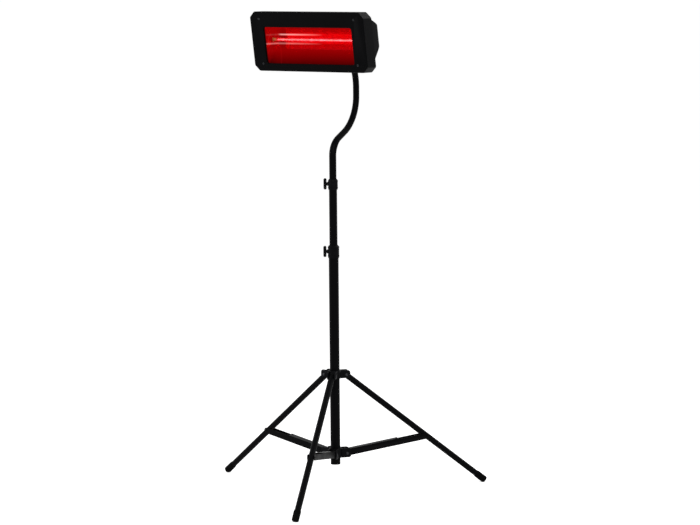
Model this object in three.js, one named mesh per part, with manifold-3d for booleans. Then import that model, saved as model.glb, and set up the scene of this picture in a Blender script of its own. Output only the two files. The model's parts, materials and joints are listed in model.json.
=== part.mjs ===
// Infrared patio heater: a long lamp head on an offset gooseneck mast with a folding tripod.
// Millimetres, +Z up. The head faces -Y. The origin is on the floor, under the middle of the
// object's bounding box. The mast is built on its own axis and shifted there at the end.
import * as THREE from 'three';
import { mergeVertices } from 'three/addons/utils/BufferGeometryUtils.js';
import Module from 'manifold-3d';

const wasm = await Module();
wasm.setup();

// ---------- driving dimensions, mm and degrees ----------
const gap = 0.3; // left between pieces that touch or run on each other
const roundSides = 20; // sides of a turned piece
const smallSides = 10; // sides of a screw, rivet or hole

const mast = {
  lowerRadius: 17.5,
  middleRadius: 14.3,
  upperRadius: 12.7,
  neckRadius: 11.3, // the gooseneck is swaged down above its first bend
  lowerWall: 1.5,
  middleWall: 1.2,
  upperWall: 1.2,
  plugFaceHeight: 99, // the mast hangs clear of the floor
  plugThickness: 3,
  plugSpigotLength: 20,
  plugBore: 6,
  lowerTubeLength: 760,
  middleShown: 240, // length of the middle tube above the lower one
  middleLength: 680,
  upperShown: 107, // straight length of the neck tube above the middle one
  upperStraight: 600,
  bushLength: 12,
  bushSpigotLength: 14,
  bushBore: 8,
};

const neck = {
  lowerBendRadius: 70,
  bendAngle: 62,
  bendStraight: 37,
  upperBendRadius: 145,
  backStraight: 29,
  curlRadius: 180,
  arcStep: 9, // degrees of bend from one ring of the tube to the next
  sides: 16,
  swageFrom: 28, // the tube narrows from here to here, above the start of the bend
  swageTo: 70,
  knuckleLength: 34, // from the end of the tube to the tilt bolt
  knuckleSpigot: 24, // how far the knuckle reaches into the tube
};

const tripod = {
  legCount: 3,
  firstLegAzimuth: 21.7, // from the way the head faces, towards +X
  legRadius: 11,
  legWall: 1.5,
  legLength: 660, // hub pivot to the end of the tube
  legTilt: 51.6, // from the vertical
  legEndHeight: 13, // centre of the tube's end above the floor
  legTopOverrun: 9, // tube above its hub pivot
  pivotRadius: 40, // mast axis to the hub and collar pivots
  strutPivotAlongLeg: 384.5,
  collarPivotHeight: 139,
  capWall: 1.5,
  capLength: 32,
  capSole: 10, // rubber beyond the end of the tube
};

const strut = {
  wall: 1.6,
  halfDepth: 10.5,
  webLength: 190, // the web stops here, so that the leg can swing through
  webClearance: 1, // leg to web when the tripod is folded
};

const hub = {
  bodyRadius: 24,
  height: 28,
  pivotAboveBottom: 11.5,
  earThickness: 4,
  earTipRadius: 54,
  earCornerRadius: 9,
  rivetRadius: 3,
  rivetHeadRadius: 5.5,
  rivetHeadThickness: 2,
  knobBossRadius: 8,
  knobBossTip: 30,
  studRadius: 4,
};

const collar = {
  height: 34,
  pivotAboveBottom: 15,
};

const lockKnob = {
  start: 32,
  length: 15,
  radius: 14,
  lobeCount: 6,
  lobeDepth: 2.2,
  azimuthFromFirstLeg: 180,
};

const clampAzimuth = -54; // the wing screws point this way
const lowerClampSize = { grip: 18, rise: 28, screwRise: 5.5, wall: 3.2 };
const upperClampSize = { grip: 14, rise: 24, screwRise: 7, wall: 3.6 };
const clampShape = { taper: 6, bossRadius: 7, bossLength: 3.5 };

const wing = {
  hubRadius: 6,
  hubLength: 6,
  reach: 12,
  spread: 20,
  tipWidth: 5,
  tipSlant: 5,
  thickness: 4.5,
};

const head = {
  width: 490,
  height: 213,
  faceAheadOfMast: 140.8,
  faceAboveBend: 407.3, // middle of the front face above the start of the gooseneck's bend
  tilt: 9, // looking down
  skirtDepth: 51,
  sheet: 2,
  corner: 20,
  sideBand: 55.2, // of sheet round the aperture
  topBand: 56,
  bottomBand: 27,
  apertureCorner: 8,
  lipDepth: 8,
  lipWall: 1.5,
};

const housing = {
  endInset: 16, // the bezel's end to the shell's end
  wall: 1.5,
  shoulderTopInset: 19.7, // the skirt's edge to where the shell leaves its back
  shoulderBottomInset: 25.3,
  kneeTop: 48.7,
  kneeBottom: 39.3,
  backTop: 39.7,
  backBottom: 27.3,
  kneeInset: 7,
  depth: 101,
};

const endCap = { overlap: 12, wall: 2 };

const reflector = {
  sheet: 1,
  rim: 3, // the trough stops this far inside the aperture's ends
  focus: 27, // the lamp hangs close to this far in front of the vertex
  middle: 3.4, // the parabola's axis above the middle of the face
  flange: 8,
  vertexDepth: 78,
  segments: 20,
  endFlange: 12,
  endTaper: 53, // the mirrors at the ends narrow by this much towards the back
};

const lamp = {
  radius: 5.5,
  wall: 1,
  endInset: 13.5, // the trough's end to the end of the clear tube
  depth: 50,
  height: -2.5, // above the middle of the face
  filamentRadius: 1.2,
  endRadius: 5,
  endLength: 24,
  endHole: 8,
  pinRadius: 1.6,
  pinLength: 6,
  holderWidth: 22,
  holderThickness: 14,
};

const terminal = {
  width: 20,
  thickness: 12,
  height: 40,
  fromEnd: 15, // the shell's end to the block's middle
  wellCount: 3,
  wellPitch: 13.3,
  wellRadius: 3.5,
  wellDepth: 5,
};

const gland = {
  fromEnd: 79,
  threadRadius: 8,
  bodyRadius: 11,
  nutLength: 7.2,
  bodyLength: 12,
  taper: 3,
  bore: 4,
  inside: 6,
};

const tiltJoint = {
  standoff: 35, // housing back to the tilt bolt
  boltRadius: 4,
  tongueWidth: 20,
  tongueRadius: 13,
  tongueRoot: 5, // how far the tongue is sunk into the round block
  blockClearance: 3, // from the tongue's circle to the block, for the ears to swing past
  earInset: 4, // the ears' roots stop short of the plate's ends
  plateWidth: 68,
  plateHeight: 54,
  plateThickness: 3,
  boltHeadRadius: 7.5,
  boltHeadLength: 5,
  boltOverrun: 14,
  knobRadius: 15,
  knobLength: 16,
  screwOffset: 25,
};

const panScrew = { radius: 2.2, headRadius: 4.2, headHeight: 2.2, length: 12 };
const bezelScrew = { fromEnd: 40, fromEdge: 26.5 };

const blackPaint = { color: 0x121214, roughness: 0.42, metalness: 0.1 };
const blackPlastic = { color: 0x17171a, roughness: 0.55, metalness: 0 };
const darkSteel = { color: 0x3a3b3e, roughness: 0.38, metalness: 0.9 };
const blackRubber = { color: 0x101011, roughness: 0.85, metalness: 0 };
const polished = { color: 0xd8d4d0, roughness: 0.12, metalness: 1 };
const rubyQuartz = { color: 0xd01018, roughness: 0.08, metalness: 0, emissive: 0xff2818 };
const hotWire = { color: 0xffb070, roughness: 0.4, metalness: 0.6, emissive: 0xff7030 };
const ceramic = { color: 0xe8e2d2, roughness: 0.6, metalness: 0 };
const zincPlate = { color: 0xb9bcc0, roughness: 0.3, metalness: 0.95 };

// ---------- small helpers ----------
const radians = THREE.MathUtils.degToRad;
const upAxisTurn = (azimuth) => radians(azimuth - 90); // -Y is azimuth 0, +X is 90

function toSolid(geometry) {
  const bare = geometry.clone();
  bare.deleteAttribute('normal');
  bare.deleteAttribute('uv');
  const merged = mergeVertices(bare, 1e-4);
  return new wasm.Manifold(new wasm.Mesh({
    numProp: 3,
    vertProperties: new Float32Array(merged.attributes.position.array),
    triVerts: new Uint32Array(merged.index.array),
  }));
}

function toGeometry(solid) {
  const mesh = solid.getMesh();
  const geometry = new THREE.BufferGeometry();
  geometry.setAttribute('position', new THREE.BufferAttribute(mesh.vertProperties, 3));
  geometry.setIndex(new THREE.BufferAttribute(mesh.triVerts, 1));
  geometry.computeVertexNormals();
  return geometry;
}

function join(first, ...others) {
  return others.reduce((sum, next) => sum.add(next), first);
}

function cut(first, ...others) {
  return others.reduce((rest, next) => rest.subtract(next), first);
}

function box(x0, x1, y0, y1, z0, z1) {
  const geometry = new THREE.BoxGeometry(x1 - x0, y1 - y0, z1 - z0);
  geometry.translate((x0 + x1) / 2, (y0 + y1) / 2, (z0 + z1) / 2);
  return toSolid(geometry);
}

// A turned piece on the Z axis from a counter-clockwise [radius, z] profile.
function turned(profile, sides = roundSides) {
  const points = profile.map(([r, z]) => new THREE.Vector2(r, z));
  const onAxis = profile[0][0] === 0 && profile[profile.length - 1][0] === 0;
  if (!onAxis) points.push(points[0].clone());
  const geometry = new THREE.LatheGeometry(points, sides);
  geometry.rotateX(Math.PI / 2);
  return geometry;
}

function ring(outer, inner, z0, z1, sides = roundSides) {
  return toSolid(turned([[inner, z0], [outer, z0], [outer, z1], [inner, z1]], sides));
}

function rodGeometry(radius, z0, z1, sides = smallSides) {
  return turned([[0, z0], [radius, z0], [radius, z1], [0, z1]], sides);
}

function rod(radius, z0, z1, sides = smallSides) {
  return toSolid(rodGeometry(radius, z0, z1, sides));
}

// A rod along X or Y, at the given place on the other two axes.
function rodX(radius, x0, x1, y, z, sides = smallSides) {
  const geometry = rodGeometry(radius, x0, x1, sides);
  geometry.rotateY(Math.PI / 2);
  geometry.translate(0, y, z);
  return toSolid(geometry);
}

function rodY(radius, y0, y1, x, z, sides = smallSides) {
  const geometry = rodGeometry(radius, -y1, -y0, sides);
  geometry.rotateX(Math.PI / 2);
  geometry.translate(x, 0, z);
  return toSolid(geometry);
}

// A shape drawn in the XZ plane and given a thickness along Y.
function slabXZ(shape, y0, y1, curveSegments = 4) {
  const geometry = new THREE.ExtrudeGeometry(shape, {
    depth: y1 - y0,
    bevelEnabled: false,
    curveSegments,
  });
  geometry.rotateX(Math.PI / 2);
  geometry.translate(0, y1, 0);
  return toSolid(geometry);
}

// A shape drawn in the YZ plane and given a length along X.
function slabYZ(shape, x0, x1, curveSegments = 4) {
  const geometry = new THREE.ExtrudeGeometry(shape, {
    depth: x1 - x0,
    bevelEnabled: false,
    curveSegments,
  });
  geometry.rotateZ(Math.PI / 2);
  geometry.rotateY(Math.PI / 2);
  geometry.translate(x0, 0, 0);
  return toSolid(geometry);
}

function polygon(points) {
  return new THREE.Shape(points.map(([x, y]) => new THREE.Vector2(x, y)));
}

function roundedBox(x0, x1, y0, y1, radius) {
  const shape = new THREE.Shape();
  shape.moveTo(x0 + radius, y0);
  shape.lineTo(x1 - radius, y0);
  shape.absarc(x1 - radius, y0 + radius, radius, -Math.PI / 2, 0);
  shape.lineTo(x1, y1 - radius);
  shape.absarc(x1 - radius, y1 - radius, radius, 0, Math.PI / 2);
  shape.lineTo(x0 + radius, y1);
  shape.absarc(x0 + radius, y1 - radius, radius, Math.PI / 2, Math.PI);
  shape.lineTo(x0, y0 + radius);
  shape.absarc(x0 + radius, y0 + radius, radius, Math.PI, Math.PI * 1.5);
  return shape;
}

const heater = new THREE.Group(); // on the mast axis, floor at z 0

function place(parent, name, solid, finish, position = [0, 0, 0], turn = [0, 0, 0]) {
  const geometry = solid.isBufferGeometry ? solid : toGeometry(solid);
  const mesh = new THREE.Mesh(geometry, new THREE.MeshStandardMaterial(finish));
  mesh.name = name;
  mesh.position.set(...position);
  mesh.rotation.set(...turn);
  parent.add(mesh);
  return mesh;
}

function turnedGroup(azimuth, parent = heater) {
  const group = new THREE.Group();
  group.rotation.z = upAxisTurn(azimuth); // its +X points outwards at that azimuth
  parent.add(group);
  return group;
}

// ---------- heights on the mast ----------
const lowerTubeBottom = mast.plugFaceHeight + mast.plugThickness;
const lowerTubeTop = lowerTubeBottom + mast.lowerTubeLength;
const middleTubeTop = lowerTubeTop + mast.middleShown;
const middleTubeBottom = middleTubeTop - mast.middleLength;
const neckBendStart = middleTubeTop + mast.upperShown;
const neckTubeBottom = neckBendStart - mast.upperStraight;

// ---------- telescoping mast ----------
function buildMastTubes() {
  const { lowerRadius, middleRadius, lowerWall, middleWall } = mast;
  place(heater, 'lower_tube', ring(lowerRadius, lowerRadius - lowerWall,
    lowerTubeBottom, lowerTubeTop), blackPaint);
  place(heater, 'middle_tube', ring(middleRadius, middleRadius - middleWall,
    middleTubeBottom, middleTubeTop), blackPaint);
}

function buildTubePlug() {
  const bore = mast.lowerRadius - mast.lowerWall - gap;
  const flangeTop = lowerTubeBottom - gap;
  const top = flangeTop + mast.plugSpigotLength;
  const profile = [
    [mast.plugBore, mast.plugFaceHeight],
    [mast.lowerRadius, mast.plugFaceHeight],
    [mast.lowerRadius, flangeTop],
    [bore, flangeTop],
    [bore, top],
    [mast.plugBore, top],
  ];
  place(heater, 'tube_plug', turned(profile), blackPlastic);
}

// A guide bush on the lower end of an inner tube: it runs in the outer tube.
function buildBush(name, outerBore, innerBore, tubeBottom) {
  const flangeTop = tubeBottom - gap;
  const profile = [
    [mast.bushBore, flangeTop - mast.bushLength],
    [outerBore - gap, flangeTop - mast.bushLength],
    [outerBore - gap, flangeTop],
    [innerBore - gap, flangeTop],
    [innerBore - gap, flangeTop + mast.bushSpigotLength],
    [mast.bushBore, flangeTop + mast.bushSpigotLength],
  ];
  place(heater, name, turned(profile), blackPlastic);
}

// A clamp collar on the top end of an outer tube, bored for the tube inside it.
function buildClamp(name, outerTube, innerTube, tubeTop, size) {
  const radius = outerTube + size.wall;
  const seat = outerTube + gap;
  const bore = innerTube + gap;
  const bottom = tubeTop - size.grip;
  const top = tubeTop + size.rise;
  const { taper, bossRadius, bossLength } = clampShape;
  const body = toSolid(turned([
    [seat, bottom],
    [outerTube + size.wall / 2, bottom],
    [radius, bottom + taper],
    [radius, top - taper],
    [innerTube + size.wall / 2, top],
    [bore, top],
    [bore, tubeTop + gap],
    [seat, tubeTop + gap],
  ]));
  const screwHeight = tubeTop + size.screwRise;
  const inside = (bore + radius) / 2;
  const boss = rodX(bossRadius, inside, radius + bossLength, 0, screwHeight);
  const hole = rodX(hub.studRadius + gap, 0, radius + bossLength + gap, 0, screwHeight);
  place(turnedGroup(clampAzimuth), name, cut(join(body, boss), hole), blackPlastic);
}

// A wing screw: its stud stops short of the tube that it presses on.
function buildWingScrew(name, innerTube, outerTube, tubeTop, size) {
  const start = outerTube + size.wall + clampShape.bossLength + gap;
  const hubEnd = start + wing.hubLength;
  const tip = start + wing.reach;
  const stud = rodX(hub.studRadius, innerTube + gap, start + gap, 0, 0);
  const barrel = rodX(wing.hubRadius, start, hubEnd, 0, 0);
  const wings = slabXZ(polygon([
    [start + 1, -wing.hubRadius],
    [tip - wing.tipWidth, -wing.spread],
    [tip, -wing.spread + wing.tipSlant],
    [hubEnd - 1, 0],
    [tip, wing.spread - wing.tipSlant],
    [tip - wing.tipWidth, wing.spread],
    [start + 1, wing.hubRadius],
  ]), -wing.thickness / 2, wing.thickness / 2);
  place(turnedGroup(clampAzimuth), name, join(barrel, stud, wings), blackPlastic,
    [0, 0, tubeTop + size.screwRise]);
}

// ---------- gooseneck ----------
// The head's place and the tilt bolt behind it. The neck is drawn to meet the bolt.
const headTilt = radians(head.tilt);
const faceHeight = neckBendStart + head.faceAboveBend;
const backMiddle = (housing.backTop - housing.backBottom) / 2;
const boltDepth = housing.depth + tiltJoint.standoff;
const boltPlace = {
  y: -head.faceAheadOfMast + boltDepth * Math.cos(headTilt) - backMiddle * Math.sin(headTilt),
  z: faceHeight + boltDepth * Math.sin(headTilt) + backMiddle * Math.cos(headTilt),
};

// Walks the centre line in the YZ plane: angle 0 goes up, a positive angle leans back (+Y).
function walkNeck() {
  const line = [{ y: 0, z: neckTubeBottom, angle: 0 }];
  let here = { y: 0, z: neckBendStart, angle: 0 };
  line.push(here);
  const forward = (length) => {
    here = {
      y: here.y + length * Math.sin(here.angle),
      z: here.z + length * Math.cos(here.angle),
      angle: here.angle,
    };
    line.push(here);
  };
  const bend = (degrees, radius) => {
    const steps = Math.max(2, Math.ceil(Math.abs(degrees) / neck.arcStep));
    const step = radians(degrees) / steps;
    const side = Math.sign(degrees);
    for (let i = 0; i < steps; i += 1) {
      const next = here.angle + step;
      here = {
        y: here.y + side * radius * (Math.cos(here.angle) - Math.cos(next)),
        z: here.z + side * radius * (Math.sin(next) - Math.sin(here.angle)),
        angle: next,
      };
      line.push(here);
    }
  };
  bend(neck.bendAngle, neck.lowerBendRadius);
  forward(neck.bendStraight);
  bend(-neck.bendAngle, neck.upperBendRadius);
  forward(neck.backStraight);
  // The curl leaves its circle where the tangent runs through the tilt bolt.
  const fromCentre = { y: boltPlace.y - (here.y - neck.curlRadius), z: boltPlace.z - here.z };
  const distance = Math.hypot(fromCentre.y, fromCentre.z);
  const tangent = Math.sqrt(distance ** 2 - neck.curlRadius ** 2);
  const curl = Math.atan2(fromCentre.z, fromCentre.y) - Math.acos(neck.curlRadius / distance);
  bend(-THREE.MathUtils.radToDeg(curl), neck.curlRadius);
  forward(tangent - neck.knuckleLength);
  return { line, heading: here.angle };
}

// One closed tube wall: rings outside and inside, joined at both ends.
function tubeAlong(line, outerRadii, wall, sides) {
  const positions = [];
  const index = [];
  const rings = [...line.keys()];
  const ringPoint = (i, radius, k) => {
    const turn = (k / sides) * Math.PI * 2;
    const across = radius * Math.sin(turn);
    const { y, z, angle } = line[i];
    positions.push(radius * Math.cos(turn), y + across * Math.cos(angle),
      z - across * Math.sin(angle));
  };
  for (const inset of [0, wall]) {
    for (const i of rings) {
      for (let k = 0; k < sides; k += 1) ringPoint(i, outerRadii[i] - inset, k);
    }
  }
  const count = line.length;
  const at = (layer, i, k) => (layer * count + i) * sides + (k % sides);
  const quad = (a, b, c, d) => index.push(a, b, c, a, c, d);
  for (let k = 0; k < sides; k += 1) {
    for (let i = 0; i + 1 < count; i += 1) {
      quad(at(0, i, k), at(0, i, k + 1), at(0, i + 1, k + 1), at(0, i + 1, k));
      quad(at(1, i, k), at(1, i + 1, k), at(1, i + 1, k + 1), at(1, i, k + 1));
    }
    quad(at(0, 0, k + 1), at(0, 0, k), at(1, 0, k), at(1, 0, k + 1));
    const end = count - 1;
    quad(at(0, end, k), at(0, end, k + 1), at(1, end, k + 1), at(1, end, k));
  }
  const geometry = new THREE.BufferGeometry();
  geometry.setAttribute('position', new THREE.Float32BufferAttribute(positions, 3));
  geometry.setIndex(index);
  return geometry;
}

function buildNeck() {
  const { line, heading } = walkNeck();
  const { swageFrom, swageTo } = neck;
  const radii = line.map(({ z }) => {
    const above = z - neckBendStart;
    const share = THREE.MathUtils.clamp((above - swageFrom) / (swageTo - swageFrom), 0, 1);
    return THREE.MathUtils.lerp(mast.upperRadius, mast.neckRadius, share);
  });
  const tube = toSolid(tubeAlong(line, radii, mast.upperWall, neck.sides));
  place(heater, 'neck_tube', tube, blackPaint);

  // The knuckle is built along +Z with the tilt bolt at its origin.
  const bore = mast.neckRadius - mast.upperWall - gap;
  const shoulder = -neck.knuckleLength + gap;
  const { tongueRadius, tongueWidth, tongueRoot, blockClearance, boltRadius } = tiltJoint;
  const blockTop = -tongueRadius - blockClearance;
  const spigot = rod(bore, shoulder - neck.knuckleSpigot, shoulder + 1, roundSides);
  const block = rod(mast.neckRadius, shoulder, blockTop, roundSides);
  const shape = new THREE.Shape();
  shape.moveTo(-tongueRadius, blockTop - tongueRoot);
  shape.lineTo(tongueRadius, blockTop - tongueRoot);
  shape.lineTo(tongueRadius, 0);
  shape.absarc(0, 0, tongueRadius, 0, Math.PI);
  const tongue = slabYZ(shape, -tongueWidth / 2, tongueWidth / 2, 10);
  const hole = rodX(boltRadius + gap, -tongueWidth, tongueWidth, 0, 0);
  place(heater, 'neck_knuckle', cut(join(spigot, block, tongue), hole), blackPaint,
    [0, boltPlace.y, boltPlace.z], [-heading, 0, 0]);
}

// ---------- tripod ----------
const legTilt = radians(tripod.legTilt);
const hubPivotHeight = tripod.legEndHeight + tripod.legLength * Math.cos(legTilt);
const strutPivot = {
  r: tripod.pivotRadius + tripod.strutPivotAlongLeg * Math.sin(legTilt),
  z: hubPivotHeight - tripod.strutPivotAlongLeg * Math.cos(legTilt),
};
const strutRun = strutPivot.r - tripod.pivotRadius;
const strutClimb = strutPivot.z - tripod.collarPivotHeight;
const strutLength = Math.hypot(strutRun, strutClimb);
const strutAngle = Math.atan2(strutClimb, strutRun); // above the horizontal
const earInner = tripod.legRadius + gap;
const strutInner = tripod.legRadius + gap;
const strutOuter = strutInner + strut.wall;
const legAzimuths = Array.from({ length: tripod.legCount },
  (_, i) => tripod.firstLegAzimuth + (i * 360) / tripod.legCount);

// An ear from the ring outwards, its two outer corners rounded.
function earShape(start, low, high) {
  const { earTipRadius, earCornerRadius } = hub;
  const shape = new THREE.Shape();
  const centre = earTipRadius - earCornerRadius;
  shape.moveTo(start, low);
  shape.lineTo(centre, low);
  shape.absarc(centre, low + earCornerRadius, earCornerRadius, -Math.PI / 2, 0);
  shape.absarc(centre, high - earCornerRadius, earCornerRadius, 0, Math.PI / 2);
  shape.lineTo(start, high);
  return shape;
}

// A ring on the lower tube with a pair of ears for each leg, and the rivet holes in them.
function earedRing(height, pivotAboveBottom, innerHalfWidth) {
  const tubeBore = mast.lowerRadius + gap;
  const earOuter = innerHalfWidth + hub.earThickness;
  const low = -pivotAboveBottom;
  const high = height - pivotAboveBottom;
  let solid = ring(hub.bodyRadius, tubeBore, low, high);
  const ear = earShape(tubeBore + 1, low, high);
  for (const azimuth of legAzimuths) {
    for (const side of [-1, 1]) {
      const faces = [side * innerHalfWidth, side * earOuter].sort((a, b) => a - b);
      const plate = slabXZ(ear, faces[0], faces[1], 3);
      solid = solid.add(plate.rotate([0, 0, azimuth - 90]));
    }
    const hole = rodY(hub.rivetRadius + gap, -earOuter - 1, earOuter + 1, tripod.pivotRadius, 0);
    solid = solid.subtract(hole.rotate([0, 0, azimuth - 90]));
  }
  return solid.subtract(rod(tubeBore, low - 1, high + 1, roundSides));
}

// A rivet across a pair of ears, with a head outside each.
function earRivet(innerHalfWidth) {
  const { rivetRadius, rivetHeadRadius, rivetHeadThickness, earThickness } = hub;
  const face = innerHalfWidth + earThickness + gap;
  return join(
    rodY(rivetRadius, -face - 1, face + 1, 0, 0),
    rodY(rivetHeadRadius, face, face + rivetHeadThickness, 0, 0),
    rodY(rivetHeadRadius, -face - rivetHeadThickness, -face, 0, 0),
  );
}

function buildHub() {
  const knobAzimuth = tripod.firstLegAzimuth + lockKnob.azimuthFromFirstLeg;
  const height = hub.height / 2 - hub.pivotAboveBottom;
  const boss = rodX(hub.knobBossRadius, mast.lowerRadius + 2, hub.knobBossTip, 0, height)
    .rotate([0, 0, knobAzimuth - 90]);
  const hole = rodX(hub.studRadius + gap, 0, hub.knobBossTip + 1, 0, height)
    .rotate([0, 0, knobAzimuth - 90]);
  const body = cut(join(earedRing(hub.height, hub.pivotAboveBottom, earInner), boss), hole);
  place(heater, 'slider_hub', body, blackPlastic, [0, 0, hubPivotHeight]);
  place(turnedGroup(knobAzimuth), 'hub_lock_knob',
    lobedKnob(lockKnob, mast.lowerRadius + gap, hub.studRadius), blackPlastic,
    [0, 0, hubPivotHeight + height]);
}

// A lobed hand knob on the X axis, with its stud reaching in to studStart.
function lobedKnob(size, studStart, studRadius) {
  const { start, length, radius, lobeCount, lobeDepth } = size;
  let solid = rodX(radius, start, start + length, 0, 0, lobeCount * 4);
  for (let i = 0; i < lobeCount; i += 1) {
    const turn = (i / lobeCount) * Math.PI * 2;
    const reach = radius + lobeDepth;
    solid = solid.subtract(rodX(lobeDepth * 2, start - 1, start + length + 1,
      reach * Math.cos(turn), reach * Math.sin(turn), 8));
  }
  return solid.add(rodX(studRadius, studStart, start + 1, 0, 0));
}

function buildCollar() {
  place(heater, 'lower_collar', earedRing(collar.height, collar.pivotAboveBottom,
    strutOuter + gap), blackPlastic, [0, 0, tripod.collarPivotHeight]);
}

// The leg is built along +Z from its hub pivot and turned down and outwards.
function buildLeg(number, group) {
  const { legRadius, legWall, legLength, legTopOverrun, strutPivotAlongLeg } = tripod;
  const tube = ring(legRadius, legRadius - legWall, -legTopOverrun, legLength);
  const hubHole = rodY(hub.rivetRadius + gap, -legRadius - 1, legRadius + 1, 0, 0);
  const strutHole = rodY(hub.rivetRadius + gap, -legRadius - 1, legRadius + 1,
    0, strutPivotAlongLeg);
  const hubPivot = [tripod.pivotRadius, 0, hubPivotHeight];
  const turn = [0, Math.PI - legTilt, 0];
  place(group, `leg_${number}`, cut(tube, hubHole, strutHole), blackPaint, hubPivot, turn);
  place(group, `hub_rivet_${number}`, earRivet(earInner), darkSteel, hubPivot);
  place(group, `strut_rivet_${number}`, rodY(hub.rivetRadius, -legRadius, legRadius, 0, 0),
    darkSteel, [strutPivot.r, 0, strutPivot.z]);
}

// A blunt rubber boot over the leg's end, worn level where it stands on the floor.
function buildFootCap(number, group) {
  const { legRadius, legLength, capWall, capLength, capSole } = tripod;
  const sleeve = legRadius + gap + capWall;
  const reach = legLength + capSole;
  const socket = rod(legRadius + gap, legLength - capLength - 1, legLength + gap, roundSides);
  const boot = cut(rod(sleeve, legLength - capLength, reach, roundSides), socket);
  const down = new THREE.Matrix4().makeRotationY(Math.PI - legTilt);
  down.setPosition(tripod.pivotRadius, 0, hubPivotHeight);
  const placed = boot.transform(down.elements);
  const far = tripod.pivotRadius + reach * 2;
  place(group, `foot_cap_${number}`, placed.intersect(box(0, far, -far, far, 0, far)),
    blackRubber);
}

// The strut is a channel, built along +X from its collar pivot, web upwards.
function buildStrut(number, group) {
  const { wall, halfDepth, webLength, webClearance } = strut;
  const webBottom = tripod.legRadius + webClearance;
  const webTop = webBottom + wall;
  const inner = halfDepth;
  const side = new THREE.Shape();
  side.moveTo(0, -inner);
  side.lineTo(strutLength, -inner);
  side.absarc(strutLength, 0, inner, -Math.PI / 2, Math.PI / 2);
  side.lineTo(webLength + inner, inner);
  side.lineTo(webLength, webTop);
  side.lineTo(webTop / 2, webTop);
  side.absarc(0, 0, inner, Math.PI / 2, Math.PI * 1.5);
  const left = slabXZ(side, -strutOuter, -strutInner);
  const right = slabXZ(side, strutInner, strutOuter);
  const web = box(webTop / 2 + 2, webLength - 1, -strutOuter, strutOuter, webBottom, webTop);
  const rivetHead = hub.rivetHeadThickness;
  const heads = [-1, 1].map((face) => rodY(hub.rivetHeadRadius,
    Math.min(face * strutOuter, face * (strutOuter + rivetHead)) - 0.1,
    Math.max(face * strutOuter, face * (strutOuter + rivetHead)) + 0.1, strutLength, 0));
  const hole = rodY(hub.rivetRadius + gap, -strutOuter - 1, strutOuter + 1, 0, 0);
  const solid = cut(join(left, right, web, ...heads), hole);
  const at = [tripod.pivotRadius, 0, tripod.collarPivotHeight];
  place(group, `strut_${number}`, solid, blackPaint, at, [0, -strutAngle, 0]);
  place(group, `collar_rivet_${number}`, earRivet(strutOuter + gap), darkSteel, at);
}

// ---------- lamp head: x along its width, y back from the front face, z up the face ----------
const tiltGroup = new THREE.Group(); // at the tilt bolt
tiltGroup.position.set(0, boltPlace.y, boltPlace.z);
tiltGroup.rotation.x = headTilt;
const headGroup = new THREE.Group(); // at the middle of the front face
headGroup.position.set(0, -boltDepth, -backMiddle);
tiltGroup.add(headGroup);
heater.add(tiltGroup);

const apertureMiddle = (head.bottomBand - head.topBand) / 2;
const apertureHalfWidth = head.width / 2 - head.sideBand;
const apertureHalfHeight = (head.height - head.topBand - head.bottomBand) / 2;
const skirtEnd = head.skirtDepth;
const troughMouth = head.sheet + gap; // the trough's flange lies on the back of the bezel's face
const flangeFront = head.lipDepth + gap; // the end mirrors' flanges lie on the bezel's lip
const shellHalfLength = head.width / 2 - housing.endInset;
const skirtDrop = skirtEnd * Math.tan(headTilt); // the skirt runs level behind the raked face
const shoulderTop = head.height / 2 - skirtDrop - housing.shoulderTopInset;
const shoulderBottom = -head.height / 2 - skirtDrop + housing.shoulderBottomInset;
const glandOffset = shellHalfLength - gland.fromEnd;

function cornered(halfWidth, halfHeight, corner) {
  return polygon([
    [-halfWidth + corner, -halfHeight],
    [halfWidth - corner, -halfHeight],
    [halfWidth, -halfHeight + corner],
    [halfWidth, halfHeight - corner],
    [halfWidth - corner, halfHeight],
    [-halfWidth + corner, halfHeight],
    [-halfWidth, halfHeight - corner],
    [-halfWidth, -halfHeight + corner],
  ]);
}

// Slides a solid down as it goes back, so that what was square to the face runs level.
function levelled(solid) {
  const slide = new THREE.Matrix4().makeShear(0, 0, 0, -Math.tan(headTilt), 0, 0);
  return solid.transform(slide.elements);
}

// A rounded rectangle about the aperture's middle, grown by the given margin.
function apertureShape(margin) {
  const halfWidth = apertureHalfWidth + margin;
  const halfHeight = apertureHalfHeight + margin;
  return roundedBox(-halfWidth, halfWidth, apertureMiddle - halfHeight,
    apertureMiddle + halfHeight, head.apertureCorner + margin);
}

function buildBezel() {
  const { width, height, corner, sheet, lipDepth, lipWall } = head;
  const outside = levelled(slabXZ(cornered(width / 2, height / 2, corner), 0, skirtEnd));
  const inside = levelled(slabXZ(cornered(width / 2 - sheet, height / 2 - sheet,
    corner - sheet / 2), sheet, skirtEnd + 1));
  const lip = slabXZ(apertureShape(lipWall), sheet / 2, lipDepth);
  const aperture = slabXZ(apertureShape(0), -1, lipDepth + 1);
  let solid = cut(join(cut(outside, inside), lip), aperture);
  for (const [x, z] of screwPlaces()) {
    solid = solid.subtract(rodY(panScrew.radius + gap, -1, sheet + 1, x, z));
  }
  place(headGroup, 'front_bezel', solid, blackPaint);
  screwPlaces().forEach(([x, z], i) => {
    place(headGroup, `bezel_screw_${i + 1}`, screwInto(-1), darkSteel, [x, -gap, z]);
  });
}

function screwPlaces() {
  const x = head.width / 2 - bezelScrew.fromEnd;
  const z = head.height / 2 - bezelScrew.fromEdge;
  return [[-x, -z], [x, -z], [-x, z], [x, z]];
}

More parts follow.
